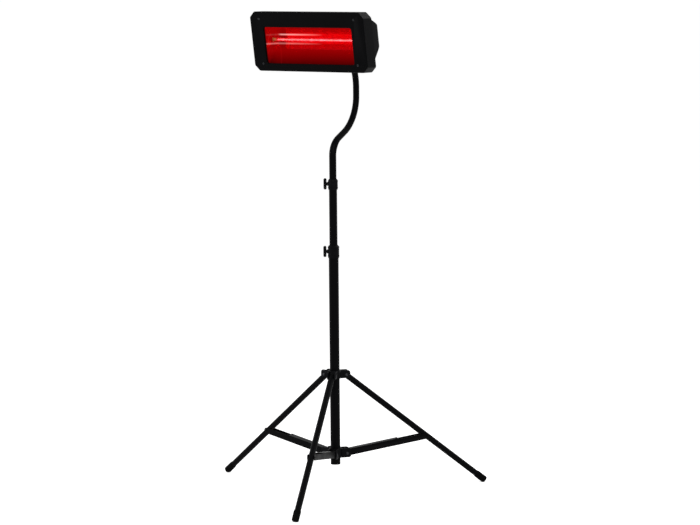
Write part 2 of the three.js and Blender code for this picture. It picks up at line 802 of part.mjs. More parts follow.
// A pan-head screw on the Y axis. outward is -1 when its head faces -Y and 1 when +Y.
function screwInto(outward) {
  const { radius, headRadius, headHeight, length } = panScrew;
  const span = (a, b) => [Math.min(a * outward, b * outward), Math.max(a * outward, b * outward)];
  const [h0, h1] = span(0, headHeight * 0.6);
  const [c0, c1] = span(0, headHeight);
  const [s0, s1] = span(-length, 0.5);
  return join(
    rodY(headRadius, h0, h1, 0, 0),
    rodY(headRadius * 0.75, c0, c1, 0, 0),
    rodY(radius, s0, s1, 0, 0),
  );
}

// The shell's outline in the YZ plane, from its upper front edge round the back, grown outwards.
function shellOutline(grow) {
  const { kneeTop, kneeBottom, backTop, backBottom } = housing;
  const knee = housing.depth - housing.kneeInset;
  const slant = grow * 0.7;
  return [
    [skirtEnd - head.sheet, shoulderTop + grow],
    [skirtEnd, shoulderTop + grow],
    [knee + slant, kneeTop + slant],
    [housing.depth + grow, backTop + grow * 0.4],
    [housing.depth + grow, -backBottom - grow * 0.4],
    [knee + slant, -kneeBottom - slant],
    [skirtEnd, shoulderBottom - grow],
    [skirtEnd - head.sheet, shoulderBottom - grow],
  ];
}

function buildHousing() {
  const { wall } = housing;
  const outer = slabYZ(polygon(shellOutline(0)), -shellHalfLength, shellHalfLength);
  const hollow = shellOutline(-wall);
  hollow[0][0] -= 5;
  hollow[hollow.length - 1][0] -= 5;
  const inner = slabYZ(polygon(hollow), -shellHalfLength - 1, shellHalfLength + 1);
  const fit = head.sheet + gap;
  const plate = levelled(slabXZ(cornered(head.width / 2 - fit, head.height / 2 - fit,
    head.corner - fit / 2), skirtEnd - wall, skirtEnd));
  const opening = box(-shellHalfLength + wall, shellHalfLength - wall, 0, skirtEnd + 1,
    shoulderBottom + wall, shoulderTop - wall);
  let solid = join(cut(outer, inner), cut(plate, opening));
  solid = cut(solid, rodY(gland.threadRadius + gap, housing.depth - 5, housing.depth + 5,
    glandOffset, backMiddle, roundSides));
  for (const x of [-tiltJoint.screwOffset, tiltJoint.screwOffset]) {
    solid = solid.subtract(rodY(panScrew.radius + gap, housing.depth - 5, housing.depth + 5,
      x, backMiddle));
  }
  place(headGroup, 'housing_shell', solid, blackPaint);
}

function buildEndCap(name, side) {
  const { overlap, wall } = endCap;
  const behindPlate = (points) => {
    points[0][0] = skirtEnd + gap;
    points[1][0] = skirtEnd + gap + 0.5;
    points[6][0] = skirtEnd + gap + 0.5;
    points[7][0] = skirtEnd + gap;
    return polygon(points);
  };
  const span = (a, b) => [Math.min(a * side, b * side), Math.max(a * side, b * side)];
  const [o0, o1] = span(shellHalfLength - overlap, shellHalfLength + gap + wall);
  const [i0, i1] = span(shellHalfLength - overlap - 1, shellHalfLength + gap);
  const outer = slabYZ(behindPlate(shellOutline(gap + wall)), o0, o1);
  const socket = shellOutline(gap);
  socket[0][0] -= 2;
  socket[7][0] -= 2;
  place(headGroup, name, cut(outer, slabYZ(polygon(socket), i0, i1)), blackPlastic);
}

const trough = {
  halfLength: apertureHalfWidth - reflector.rim,
  halfHeight: 2 * Math.sqrt(reflector.focus * (reflector.vertexDepth - troughMouth)),
};

// A parabola from the upper edge of the mouth to the lower one, moved inwards by inset.
function troughCurve(inset) {
  const points = [];
  const depth = reflector.vertexDepth - inset - troughMouth;
  for (let i = 0; i <= reflector.segments; i += 1) {
    const share = 1 - (2 * i) / reflector.segments;
    points.push([troughMouth + depth * (1 - share ** 2),
      reflector.middle + (trough.halfHeight - inset) * share]);
  }
  return points;
}

function buildReflector() {
  const { sheet, flange, middle } = reflector;
  const inner = troughCurve(0);
  const outer = troughCurve(-sheet);
  const high = middle + trough.halfHeight;
  const low = middle - trough.halfHeight;
  outer[0] = [troughMouth, high + flange];
  outer[outer.length - 1] = [troughMouth, low - flange];
  const back = troughMouth + sheet;
  outer.splice(1, 0, [back, high + flange], [back, high + sheet]);
  outer.splice(outer.length - 1, 0, [back, low - sheet], [back, low - flange]);
  const profile = polygon([...outer, ...inner.reverse()]);
  place(headGroup, 'reflector', slabYZ(profile, -trough.halfLength, trough.halfLength), polished);
}

// A flat mirror that closes one end of the trough, with a hole for the lamp.
function buildEndReflector(name, side) {
  const { sheet, middle, endFlange } = reflector;
  const face = side * (trough.halfLength + gap);
  const x = [face, face + side * sheet].sort((a, b) => a - b);
  const high = middle + trough.halfHeight;
  const low = middle - trough.halfHeight;
  const plate = slabYZ(polygon([
    [flangeFront, high],
    [flangeFront, low],
    [reflector.vertexDepth, low + reflector.endTaper],
    [reflector.vertexDepth, high - reflector.endTaper],
  ].reverse()), x[0], x[1]);
  const lip = [face, face + side * endFlange].sort((a, b) => a - b);
  const tab = box(lip[0], lip[1], flangeFront, flangeFront + sheet, low, high);
  const hole = rodX(lamp.endHole, x[0] - 1, x[1] + 1, lamp.depth, lamp.height);
  place(headGroup, name, cut(join(plate, tab), hole), polished);
}

const lampHalfLength = trough.halfLength - lamp.endInset;

function buildLamp() {
  const { radius, wall, depth, height, filamentRadius } = lamp;
  const along = [0, depth, height];
  const turn = [0, Math.PI / 2, 0];
  place(headGroup, 'lamp_tube', ring(radius, radius - wall, -lampHalfLength, lampHalfLength,
    smallSides),
    rubyQuartz, along, turn);
  place(headGroup, 'filament', rod(filamentRadius, -lampHalfLength, lampHalfLength, 8),
    hotWire,
    along, turn);
  for (const [name, side] of [['left', -1], ['right', 1]]) buildLampEnd(name, side);
}

function buildLampEnd(name, side) {
  const { endRadius, endLength, pinRadius, pinLength, depth, height } = lamp;
  const span = (a, b) => [a * side, b * side].sort((p, q) => p - q);
  const start = lampHalfLength + gap;
  const end = start + endLength;
  const barrel = rodX(endRadius, ...span(start, end), depth, height);
  const pin = rodX(pinRadius, ...span(end - 1, end + pinLength), depth, height, 8);
  place(headGroup, `lamp_end_${name}`, join(barrel, pin), ceramic);

  const { holderWidth, holderThickness } = lamp;
  const back = trough.halfLength + gap + reflector.sheet + gap;
  const [h0, h1] = span(back, back + holderThickness);
  const half = holderWidth / 2;
  const block = box(h0, h1, depth - half, depth + half, height - half, height + half);
  const socket = rodX(endRadius + gap, ...span(back - 1, end + gap), depth, height);
  const pinHole = rodX(pinRadius + gap, ...span(end, back + holderThickness + 1), depth,
    height, 8);
  place(headGroup, `lamp_holder_${name}`, cut(block, socket, pinHole), ceramic);
}

function buildWiring() {
  const { width, thickness, height, wellCount, wellPitch, wellRadius, wellDepth } = terminal;
  const centre = shellHalfLength - terminal.fromEnd;
  const innerBack = housing.depth - housing.wall - gap;
  const block = box(centre - width / 2, centre + width / 2, innerBack - thickness, innerBack,
    backMiddle - height / 2, backMiddle + height / 2);
  const wells = Array.from({ length: wellCount }, (_, i) => rodY(wellRadius,
    innerBack - thickness - 1, innerBack - thickness + wellDepth, centre,
    backMiddle + (i - (wellCount - 1) / 2) * wellPitch));
  place(headGroup, 'terminal_block', cut(block, ...wells), ceramic);

  const { threadRadius, bodyRadius, nutLength, bodyLength, taper, bore, inside } = gland;
  const seat = gap;
  const profile = [
    [bore, -inside],
    [threadRadius, -inside],
    [threadRadius, seat],
    [bodyRadius, seat],
    [bodyRadius, seat + nutLength],
    [bodyRadius - taper, seat + bodyLength],
    [bore, seat + bodyLength],
  ];
  place(headGroup, 'cable_gland', turned(profile), blackPlastic,
    [glandOffset, housing.depth, backMiddle], [-Math.PI / 2, 0, 0]);
}

// The bracket on the housing's back, the tilt bolt through its ears and the hand knob.
function buildTiltBracket() {
  const { plateWidth, plateHeight, plateThickness, earInset, tongueWidth, boltRadius } = tiltJoint;
  const seat = housing.depth + gap;
  const earInside = tongueWidth / 2 + gap;
  const earOutside = earInside + plateThickness;
  const radius = tiltJoint.tongueRadius;
  const halfHeight = plateHeight / 2;
  const plate = box(-plateWidth / 2, plateWidth / 2, seat, seat + plateThickness,
    backMiddle - halfHeight, backMiddle + halfHeight);
  const shape = new THREE.Shape();
  shape.moveTo(seat + 1, backMiddle - halfHeight + earInset);
  shape.lineTo(boltDepth, backMiddle - radius);
  shape.absarc(boltDepth, backMiddle, radius, -Math.PI / 2, Math.PI / 2);
  shape.lineTo(seat + 1, backMiddle + halfHeight - earInset);
  const bolt = rodX(boltRadius + gap, -earOutside - 1, earOutside + 1, boltDepth, backMiddle);
  let solid = join(plate, slabYZ(shape, -earOutside, -earInside, 8),
    slabYZ(shape, earInside, earOutside, 8)).subtract(bolt);
  const screwXs = [-tiltJoint.screwOffset, tiltJoint.screwOffset];
  for (const x of screwXs) {
    solid = solid.subtract(rodY(panScrew.radius + gap, seat - 1, seat + plateThickness + 1,
      x, backMiddle));
  }
  place(headGroup, 'tilt_bracket', solid, blackPaint);
  screwXs.forEach((x, i) => {
    place(headGroup, `bracket_screw_${i + 1}`, screwInto(1), darkSteel,
      [x, seat + plateThickness + gap, backMiddle]);
  });

  const { boltHeadRadius, boltHeadLength, boltOverrun } = tiltJoint;
  const headFace = -earOutside - gap;
  const shank = rodX(boltRadius, headFace - 1, earOutside + boltOverrun, boltDepth, backMiddle);
  const hexagon = rodX(boltHeadRadius, headFace - boltHeadLength, headFace, boltDepth,
    backMiddle, 6);
  place(headGroup, 'tilt_bolt', join(shank, hexagon), zincPlate);

  const size = {
    start: earOutside + gap,
    length: tiltJoint.knobLength,
    radius: tiltJoint.knobRadius,
    lobeCount: lockKnob.lobeCount,
    lobeDepth: lockKnob.lobeDepth,
  };
  const knob = lobedKnob(size, size.start, boltRadius);
  const thread = rodX(boltRadius + gap, 0, earOutside + boltOverrun + gap, 0, 0);
  place(headGroup, 'tilt_knob', knob.subtract(thread), blackPlastic,
    [0, boltDepth, backMiddle]);
}

// ---------- assembly ----------
buildMastTubes();
buildTubePlug();
const lowerBore = mast.lowerRadius - mast.lowerWall;
const middleBore = mast.middleRadius - mast.middleWall;
const upperBore = mast.upperRadius - mast.upperWall;
buildBush('middle_bush', lowerBore, middleBore, middleTubeBottom);
buildBush('upper_bush', middleBore, upperBore, neckTubeBottom);
buildClamp('lower_clamp', mast.lowerRadius, mast.middleRadius, lowerTubeTop, lowerClampSize);
buildClamp('upper_clamp', mast.middleRadius, mast.upperRadius, middleTubeTop, upperClampSize);
buildWingScrew('lower_wing_screw', mast.middleRadius, mast.lowerRadius, lowerTubeTop,
  lowerClampSize);
buildWingScrew('upper_wing_screw', mast.upperRadius, mast.middleRadius, middleTubeTop,
  upperClampSize);
buildNeck();
buildHub();
buildCollar();
legAzimuths.forEach((azimuth, i) => {
  const group = turnedGroup(azimuth);
  buildLeg(i + 1, group);
  buildFootCap(i + 1, group);
  buildStrut(i + 1, group);
});
buildBezel();
buildHousing();
buildEndCap('end_cap_left', -1);
buildEndCap('end_cap_right', 1);
buildReflector();
buildEndReflector('end_reflector_left', -1);
buildEndReflector('end_reflector_right', 1);
buildLamp();
buildWiring();
buildTiltBracket();

const bounds = new THREE.Box3().setFromObject(heater);
const middle = bounds.getCenter(new THREE.Vector3());
heater.position.set(-middle.x, -middle.y, -bounds.min.z);
const scene = new THREE.Group();
scene.add(heater);
export default scene;
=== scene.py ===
# Infrared patio heater: a ruby lamp in a black head, on a gooseneck mast with a folding tripod.
# Pieces are modelled in millimetres and settled in metres. +Z up, the head faces -Y.
import bpy
import json
import math
from mathutils import Matrix, Vector


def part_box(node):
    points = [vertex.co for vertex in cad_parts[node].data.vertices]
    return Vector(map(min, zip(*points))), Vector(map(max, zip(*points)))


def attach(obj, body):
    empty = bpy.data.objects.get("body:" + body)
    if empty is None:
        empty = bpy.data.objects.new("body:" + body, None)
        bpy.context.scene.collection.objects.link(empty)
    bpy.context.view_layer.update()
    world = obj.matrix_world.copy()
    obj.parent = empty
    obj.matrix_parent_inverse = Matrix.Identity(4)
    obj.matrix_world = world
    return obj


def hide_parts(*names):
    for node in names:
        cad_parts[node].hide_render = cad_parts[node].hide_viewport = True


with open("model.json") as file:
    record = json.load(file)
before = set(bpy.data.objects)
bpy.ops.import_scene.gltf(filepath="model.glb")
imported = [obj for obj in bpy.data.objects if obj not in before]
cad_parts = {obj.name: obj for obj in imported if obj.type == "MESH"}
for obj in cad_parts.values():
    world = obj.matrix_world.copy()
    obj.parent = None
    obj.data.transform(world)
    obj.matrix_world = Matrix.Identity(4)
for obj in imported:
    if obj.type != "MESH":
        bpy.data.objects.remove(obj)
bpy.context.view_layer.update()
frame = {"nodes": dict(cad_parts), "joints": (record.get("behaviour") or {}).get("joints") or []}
joints = {j["name"]: j for j in frame["joints"]}
gap = 0.3  # mm, left between pieces that touch
past = 1   # mm, by which a tool reaches past what it cuts or into what it joins
print("frame loaded:", len(frame["nodes"]), "nodes")


def mmBox(node):
    low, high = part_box(node)
    return low * 1000, high * 1000


def mmTube(node):
    # an upright tube's radius, foot and top
    low, high = mmBox(node)
    return (high.x - low.x) / 2, low.z, high.z


def jointPlace(name):
    return Vector(joints[name]["pos_m"])


def putIn(name, data):
    obj = bpy.data.objects.new(name, data)
    bpy.context.scene.collection.objects.link(obj)
    return obj


# camera: where the photograph was taken from
mastPlace = Vector((jointPlace("neck_swivel").x, jointPlace("neck_swivel").y, 0))

camera = {
    "distance": 10.0,   # metres, from the mast
    "height": 1.954,
    "azimuth": 36.0,    # degrees round the mast, towards +X from the front
    "lookDown": 6.43,
    "pan": 0.333,       # a little to the right of the mast
    "roll": -0.51,
    "lens": 145.2,      # mm, on a sensor 36 mm wide
    "sensor": 36.0,
    "farthest": 400.0,
}


def makeCamera(c):
    data = bpy.data.cameras.new("photoCamera")
    data.lens = c["lens"]
    data.sensor_width = c["sensor"]
    data.clip_end = c["farthest"]
    obj = putIn("photoCamera", data)
    around = math.radians(c["azimuth"])
    back = Vector((math.sin(around), -math.cos(around), 0)) * c["distance"]
    turn = (Matrix.Rotation(around - math.radians(c["pan"]), 4, "Z")
            @ Matrix.Rotation(math.radians(90 - c["lookDown"]), 4, "X")
            @ Matrix.Rotation(math.radians(c["roll"]), 4, "Z"))
    obj.matrix_world = Matrix.Translation(mastPlace + back + Vector((0, 0, c["height"]))) @ turn
    bpy.context.scene.camera = obj


makeCamera(camera)
bpy.context.scene.view_settings.view_transform = "Standard"
print("camera placed")


# working by hand: select, shape, apply
def letGo():
    # back to object mode with nothing selected
    if bpy.context.object and bpy.context.object.mode != "OBJECT":
        bpy.ops.object.mode_set(mode="OBJECT")
    bpy.ops.object.select_all(action="DESELECT")


def takeUp(obj):
    letGo()
    obj.select_set(True)
    bpy.context.view_layer.objects.active = obj


def editAll(obj):
    # edit mode with every vertex selected
    takeUp(obj)
    bpy.ops.object.mode_set(mode="EDIT")
    bpy.ops.mesh.select_mode(type="VERT")
    bpy.ops.mesh.select_all(action="SELECT")


def asNew(name):
    # the primitive just added gets its name, and its place goes into its mesh
    obj = bpy.context.object
    obj.name = obj.data.name = name
    bpy.ops.object.transform_apply(location=True, rotation=True, scale=True)
    return obj


def addBlock(name, low, high):
    letGo()
    low, high = Vector(low), Vector(high)
    bpy.ops.mesh.primitive_cube_add(size=1, location=(low + high) / 2, scale=high - low)
    return asNew(name)


def addRod(name, radius, start, end, axis="Z", centre=(0, 0, 0), sides=48):
    # a rod along an axis from start to end, through the centre on the other two
    letGo()
    turn = {"X": (0, math.pi / 2, 0), "Y": (math.pi / 2, 0, 0), "Z": (0, 0, 0)}[axis]
    place = Vector(centre)
    place["XYZ".index(axis)] = (start + end) / 2
    bpy.ops.mesh.primitive_cylinder_add(vertices=sides, radius=radius, depth=abs(end - start),
                                        location=place, rotation=turn)
    return asNew(name)


def pick(obj, kind, test):
    # in edit mode, selects what passes the test: a face by its middle and normal, an edge by
    # its two ends, a vertex by its place
    takeUp(obj)
    bpy.ops.object.mode_set(mode="EDIT")
    bpy.ops.mesh.select_mode(type=kind)
    bpy.ops.mesh.select_all(action="DESELECT")
    bpy.ops.object.mode_set(mode="OBJECT")
    mesh = obj.data
    if kind == "FACE":
        for face in mesh.polygons:
            face.select = bool(test(face.center, face.normal))
    elif kind == "EDGE":
        for edge in mesh.edges:
            ends = [mesh.vertices[v].co for v in edge.vertices]
            edge.select = bool(test(*ends))
    else:
        for vertex in mesh.vertices:
            vertex.select = bool(test(vertex.co))
    bpy.ops.object.mode_set(mode="EDIT")


def roundEdges(obj, test, width, segments):
    # bevels only the edges that pass the test
    pick(obj, "EDGE", test)
    bpy.ops.mesh.bevel(offset=width, segments=segments, affect="EDGES")
    letGo()


def cutOff(obj, point, normal, **side):
    # cuts the piece at a plane, drops the named side and closes the cut
    editAll(obj)
    bpy.ops.mesh.bisect(plane_co=point, plane_no=Vector(normal).normalized(), use_fill=True,
                        **side)
    letGo()


def faceOut(obj):
    # merges doubles and turns every face outwards
    takeUp(obj)
    bpy.ops.object.mode_set(mode="EDIT")
    bpy.ops.mesh.select_all(action="SELECT")
    bpy.ops.mesh.remove_doubles(threshold=0.001)
    bpy.ops.mesh.normals_make_consistent(inside=False)
    letGo()


def modify(obj, kind, **settings):
    takeUp(obj)
    modifier = obj.modifiers.new(kind.lower(), kind)
    for key, value in settings.items():
        setattr(modifier, key, value)
    bpy.ops.object.modifier_apply(modifier=modifier.name)


def carve(obj, tool, how="DIFFERENCE"):
    # cuts with the tool, or welds it on with how="UNION", and puts the tool away
    modify(obj, "BOOLEAN", operation=how, object=tool, solver="EXACT")
    bpy.data.objects.remove(tool)


def gather(name, pieces):
    # several meshes become one object
    takeUp(pieces[0])
    for piece in pieces:
        piece.select_set(True)
    bpy.ops.object.join()
    pieces[0].name = pieces[0].data.name = name
    return pieces[0]


def copyOf(obj, name, place=Matrix()):
    twin = putIn(name, obj.data.copy())
    twin.data.name = name
    twin.data.transform(place)
    return twin


def spunRound(name, patterns, turns):
    # copies of the patterns round the Z axis, in degrees, take their place as one object
    copies = [copyOf(pattern, name, Matrix.Rotation(math.radians(turn), 4, "Z"))
              for pattern in patterns for turn in turns]
    for pattern in patterns:
        bpy.data.objects.remove(pattern)
    return gather(name, copies)


def ease(obj, width, segments=2, limit=32):
    # rounds the sharp edges and shades the rest smooth, with the flats kept flat
    modify(obj, "BEVEL", width=width, segments=segments, limit_method="ANGLE",
           angle_limit=math.radians(limit), use_clamp_overlap=True, miter_outer="MITER_ARC")
    shade(obj, limit)


def shade(obj, limit=32):
    takeUp(obj)
    bpy.ops.object.shade_smooth_by_angle(angle=math.radians(limit))
    modify(obj, "WEIGHTED_NORMAL", keep_sharp=True)


def turnPiece(name, profile, sides=64):
    # a turned piece on the Z axis: a ring of edges is drawn from one [radius, z] to the next.
    # A profile that ends where it began is a ring, and any other gets its two ends filled.
    letGo()
    radius, z = profile[0]
    bpy.ops.mesh.primitive_circle_add(vertices=sides, radius=radius, location=(0, 0, z))
    obj = asNew(name)
    hollow = profile[0] == profile[-1]
    editAll(obj)
    if not hollow:
        bpy.ops.mesh.edge_face_add()
    for nextRadius, nextZ in profile[1:]:
        grow = nextRadius / radius
        bpy.ops.mesh.extrude_region_move(TRANSFORM_OT_translate={"value": (0, 0, nextZ - z)})
        bpy.ops.transform.resize(value=(grow, grow, 1), center_override=(0, 0, nextZ))
        radius, z = nextRadius, nextZ
    letGo()
    faceOut(obj)
    return obj


def startCurve(name, kind, count, **settings):
    # a curve whose points are still to be placed
    line = bpy.data.curves.new(name, "CURVE")
    line.dimensions = "3D"
    for key, value in settings.items():
        setattr(line, key, value)
    spline = line.splines.new(kind)
    points = spline.bezier_points if kind == "BEZIER" else spline.points
    points.add(count - 1)
    return line, spline, points


def curveToMesh(name, line):
    takeUp(putIn(name, line))
    bpy.ops.object.convert(target="MESH")
    return bpy.context.object


def settle(obj, place=Matrix()):
    # from millimetres at the piece's own origin to metres at its place in the frame
    obj.data.transform(place @ Matrix.Scale(0.001, 4))
    obj.data.update()
    return obj


def fit(obj, material, body, slot, *nodes):
    # the piece gets its finish, rides on its body and stands for its CAD nodes
    obj.data.materials.clear()
    obj.data.materials.append(material)
    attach(obj, body)
    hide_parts(*nodes)


# places. In the head's own measure x runs along it, y back from its face and z up the face
onMast = Matrix.Translation(mastPlace)
headTilt = math.radians(9)
boltBehindFace, boltAboveMiddle = 136.0, 6.2  # mm, the tilt bolt from the middle of the face
tiltBolt = jointPlace("head_tilt")
onBolt = Matrix.Translation(tiltBolt) @ Matrix.Rotation(headTilt, 4, "X")
inHead = onBolt @ Matrix.Translation(Vector((0, -boltBehindFace, -boltAboveMiddle)) / 1000)


def facing(direction):
    # a turn that brings +X into a level direction
    return Vector(direction).to_track_quat("X", "Z").to_matrix().to_4x4()


def onMastAt(joint, turn):
    # on the mast's axis, as high as the joint
    place = onMast @ turn
    place.translation.z = jointPlace(joint).z
    return place


def armPlace(joint, turnSign):
    # at a leg's or strut's pivot, +X away from the mast, +Y along the pivot
    along = Vector(joints[joint]["axis"]) * turnSign
    return Matrix.Translation(jointPlace(joint)) @ facing(along.cross(Vector((0, 0, 1))))


legPlaces = [armPlace(f"leg_{i}_hinge", 1) for i in (1, 2, 3)]
strutPlaces = [armPlace(f"strut_{i}_hinge", -1) for i in (1, 2, 3)]


# materials
def linear(hexCode):
    # an sRGB colour as the renderer wants it
    parts = [int(hexCode[i:i + 2], 16) / 255 for i in (1, 3, 5)]
    return [c / 12.92 if c <= 0.04045 else ((c + 0.055) / 1.055) ** 2.4 for c in parts] + [1.0]


def addNode(tree, kind, values=None, links=None, **settings):
    node = tree.nodes.new(kind)
    for key, value in settings.items():
        setattr(node, key, value)
    for key, value in (values or {}).items():
        node.inputs[key].default_value = value
    for key, socket in (links or {}).items():
        tree.links.new(socket, node.inputs[key])
    return node


def startMaterial(name, values):
    made = bpy.data.materials.new(name)
    made.use_nodes = True
    tree = made.node_tree
    shader = tree.nodes["Principled BSDF"]
    for key, value in values.items():
        shader.inputs[key].default_value = value
    place = addNode(tree, "ShaderNodeTexCoord").outputs["Object"]
    return made, tree, shader, place


def feed(tree, shader, sockets):
    for key, socket in sockets.items():
        tree.links.new(socket, shader.inputs[key])


def grain(tree, place, size, detail=2.0):
    # noise with lumps about the given size in millimetres
    return addNode(tree, "ShaderNodeTexNoise", {"Scale": 1000 / size, "Detail": detail},
                   {"Vector": place}).outputs["Fac"]


def between(tree, factor, low, high, fromLow=0.35, fromHigh=0.65):
    return addNode(tree, "ShaderNodeMapRange", {"From Min": fromLow, "From Max": fromHigh,
                   "To Min": low, "To Max": high}, {"Value": factor}).outputs["Result"]


def sums(tree, operation, *terms):
    # one step of arithmetic between sockets or numbers
    values = {i: term for i, term in enumerate(terms) if isinstance(term, float)}
    links = {i: term for i, term in enumerate(terms) if not isinstance(term, float)}
    return addNode(tree, "ShaderNodeMath", values, links, operation=operation).outputs[0]


def blendColours(tree, factor, first, second, middle=None, middleAt=0.5):
    # a colour ramp from one colour at 0 to the other at 1, by way of a third if there is one
    ramp = addNode(tree, "ShaderNodeValToRGB", {}, {"Fac": factor})
    stops = ramp.color_ramp.elements
    stops[0].color = linear(first)
    stops[1].color = linear(second)
    if middle:
        stops.new(middleAt).color = linear(middle)
    return ramp.outputs["Color"]


def relief(tree, height, depth, strength=1.0):
    # depth in millimetres
    return addNode(tree, "ShaderNodeBump", {"Strength": strength, "Distance": depth / 1000},
                   {"Height": height}).outputs["Normal"]


def stovedEnamel():
    # black enamel stoved on steel tube and sheet: near black, satin, with a faint orange peel,
    # duller where it is dusty and rubbed a little grey along the edges
    look = {"colour": "#040405", "rubbed": "#161617", "rubShare": 0.35, "edgeFrom": 0.53,
            "edgeTo": 0.62, "peel": 2.2, "peelDepth": 0.02, "cloud": 70.0, "dull": 0.46,
            "bright": 0.34, "gloss": 0.025}
    made, tree, shader, place = startMaterial("stovedBlackEnamel", {
        "Specular IOR Level": look["gloss"]})
    cloud = grain(tree, place, look["cloud"], 3)
    shape = addNode(tree, "ShaderNodeNewGeometry").outputs["Pointiness"]
    edge = between(tree, shape, 0.0, look["rubShare"], look["edgeFrom"], look["edgeTo"])
    feed(tree, shader, {
        "Base Color": blendColours(tree, edge, look["colour"], look["rubbed"]),
        "Roughness": between(tree, cloud, look["bright"], look["dull"]),
        "Normal": relief(tree, grain(tree, place, look["peel"]), look["peelDepth"])})
    return made


def mouldedNylon():
    # glass-filled nylon, moulded black: a fine spark-eroded grain, drawn coarser than the real
    # 0.3 mm so that it shows, and a soft dull sheen
    look = {"colour": "#050506", "worn": "#0C0C0E", "grain": 0.9, "grainDepth": 0.03,
            "cloud": 25.0, "smooth": 0.48, "rough": 0.62, "gloss": 0.035}
    made, tree, shader, place = startMaterial("mouldedBlackNylon", {
        "Specular IOR Level": look["gloss"]})
    cloud = grain(tree, place, look["cloud"])
    feed(tree, shader, {
        "Base Color": blendColours(tree, between(tree, cloud, 0.0, 1.0), look["colour"],
                                   look["worn"]),
        "Roughness": between(tree, cloud, look["smooth"], look["rough"]),
        "Normal": relief(tree, grain(tree, place, look["grain"], 4), look["grainDepth"])})
    return made


def bootRubber():
    # moulded EPDM rubber: dead matt, greyed by the floor in patches
    look = {"colour": "#050505", "dusty": "#101010", "patch": 9.0, "skin": 0.7,
            "skinDepth": 0.04, "rough": 0.82, "gloss": 0.03}
    made, tree, shader, place = startMaterial("bootRubber", {
        "Roughness": look["rough"], "Specular IOR Level": look["gloss"]})
    patch = between(tree, grain(tree, place, look["patch"], 5), 0.0, 1.0, 0.5, 0.75)
    feed(tree, shader, {
        "Base Color": blendColours(tree, patch, look["colour"], look["dusty"]),
        "Normal": relief(tree, grain(tree, place, look["skin"], 3), look["skinDepth"])})
    return made


def blackenedSteel():
    # screws and rivets, blackened in oil: dark metal with brighter flecks where a driver has been
    look = {"oxide": "#17171A", "bare": "#4A4B4F", "fleck": 1.6, "smooth": 0.32, "rough": 0.5,
            "metal": 0.85}
    made, tree, shader, place = startMaterial("oilBlackenedSteel", {"Metallic": look["metal"]})
    fleck = grain(tree, place, look["fleck"], 4)
    feed(tree, shader, {
        "Base Color": blendColours(tree, between(tree, fleck, 0.0, 1.0, 0.52, 0.7),
                                   look["oxide"], look["bare"]),
        "Roughness": between(tree, fleck, look["rough"], look["smooth"])})
    return made


def zincPlate():
    # bright zinc plate on the tilt bolt: cool silver, faintly clouded with yellow
    look = {"silver": "#B4B7BC", "straw": "#A39C84", "cloud": 6.0, "strawShare": 0.6,
            "smooth": 0.22, "rough": 0.38}
    made, tree, shader, place = startMaterial("brightZincPlate", {"Metallic": 1.0})
    cloud = grain(tree, place, look["cloud"], 3)
    feed(tree, shader, {
        "Base Color": blendColours(tree, between(tree, cloud, 0.0, look["strawShare"]),
                                   look["silver"], look["straw"]),
        "Roughness": between(tree, cloud, look["smooth"], look["rough"])})
    return made


def glowLine(tree, height, middle, halfWidth):
    # 1 along a level line, fading to 0 above and below it
    return sums(tree, "MULTIPLY",
                between(tree, height, 0.0, 1.0, middle - halfWidth, middle),
                between(tree, height, 1.0, 0.0, middle, middle + halfWidth))


def rubyGlowPaintedMirror():
    # polished aluminium sheet with the ruby lamp's light painted on: its base colour is painted
    # red, and a red glow is painted into its emission all over, strongest above and behind the
    # tube, with the streaks of the rolling along its length in its roughness. The hot coil's
    # reflection is painted into the glow as two pale lines at fixed heights, one above the lamp
    # and a fainter one below, which fade out towards the right
    # sheet: the red base colour painted for the lamp's light; bright and deep: the painted glow;
    # hot: the painted reflection lines; glow: the painted emission's strength
    look = {"sheet": "#760810", "bright": "#8B0103", "deep": "#340001", "hot": "#FFA8A4",
            "streak": 2.5, "stretch": 40.0, "wave": 38.0, "waveDepth": 0.12, "waveShare": 0.35,
            "glow": 1.0, "smooth": 0.04, "rough": 0.09}
    # heights and places in millimetres, from the middle of the head's face
    # the painted red glow, darker towards the bottom, grows between these heights up to this level
    red = {"from": -76.0, "to": -32.0, "level": 0.75}
    # painted reflection of the hot coil: two pale lines at fixed heights, the lower one fainter,
    # fading out towards the right
    line = {"upper": 22.0, "lower": -9.5, "width": 4.0, "lowerShare": 0.4, "startsAt": -188.0,
            "growsBy": 15.0, "fullAt": -120.0, "goneAt": 10.0}
    made, tree, shader, place = startMaterial("polishedReflectorSheet", {
        "Base Color": linear(look["sheet"]), "Metallic": 1.0, "Emission Strength": look["glow"]})
    alongHead = addNode(tree, "ShaderNodeMapping", {"Scale": (1 / look["stretch"], 1, 1)},
                        {"Vector": place}).outputs["Vector"]
    streak = grain(tree, alongHead, look["streak"], 3)
    wave = grain(tree, place, look["wave"], 2)
    parts = addNode(tree, "ShaderNodeSeparateXYZ", {}, {"Vector": place}).outputs
    face = inHead @ Vector((0, 0, 0))
    # painted glow: the lamp's red, darker towards the bottom of the trough
    rise = between(tree, parts["Z"], 0.0, red["level"], face.z + red["from"] / 1000,
                   face.z + red["to"] / 1000)
    # the two painted reflection lines
    upper, lower = [glowLine(tree, parts["Z"], face.z + height / 1000, line["width"] / 1000)
                    for height in (line["upper"], line["lower"])]
    inTrough = between(tree, parts["X"], 0.0, 1.0, face.x + line["startsAt"] / 1000,
                       face.x + (line["startsAt"] + line["growsBy"]) / 1000)
    lines = sums(tree, "MULTIPLY_ADD", lower, line["lowerShare"],
                 sums(tree, "MULTIPLY", upper, inTrough))
    fade = between(tree, parts["X"], 1.0 - red["level"], 0.0, face.x + line["fullAt"] / 1000,
                   face.x + line["goneAt"] / 1000)
    level = sums(tree, "MULTIPLY_ADD", lines, fade, rise)
    # the painted glow and the painted reflection lines go into the emission colour
    feed(tree, shader, {
        "Emission Color": blendColours(tree, level, look["deep"], look["hot"], look["bright"],
                                       red["level"]),
        "Roughness": between(tree, streak, look["smooth"], look["rough"]),
        "Normal": relief(tree, wave, look["waveDepth"], look["waveShare"])})
    return made


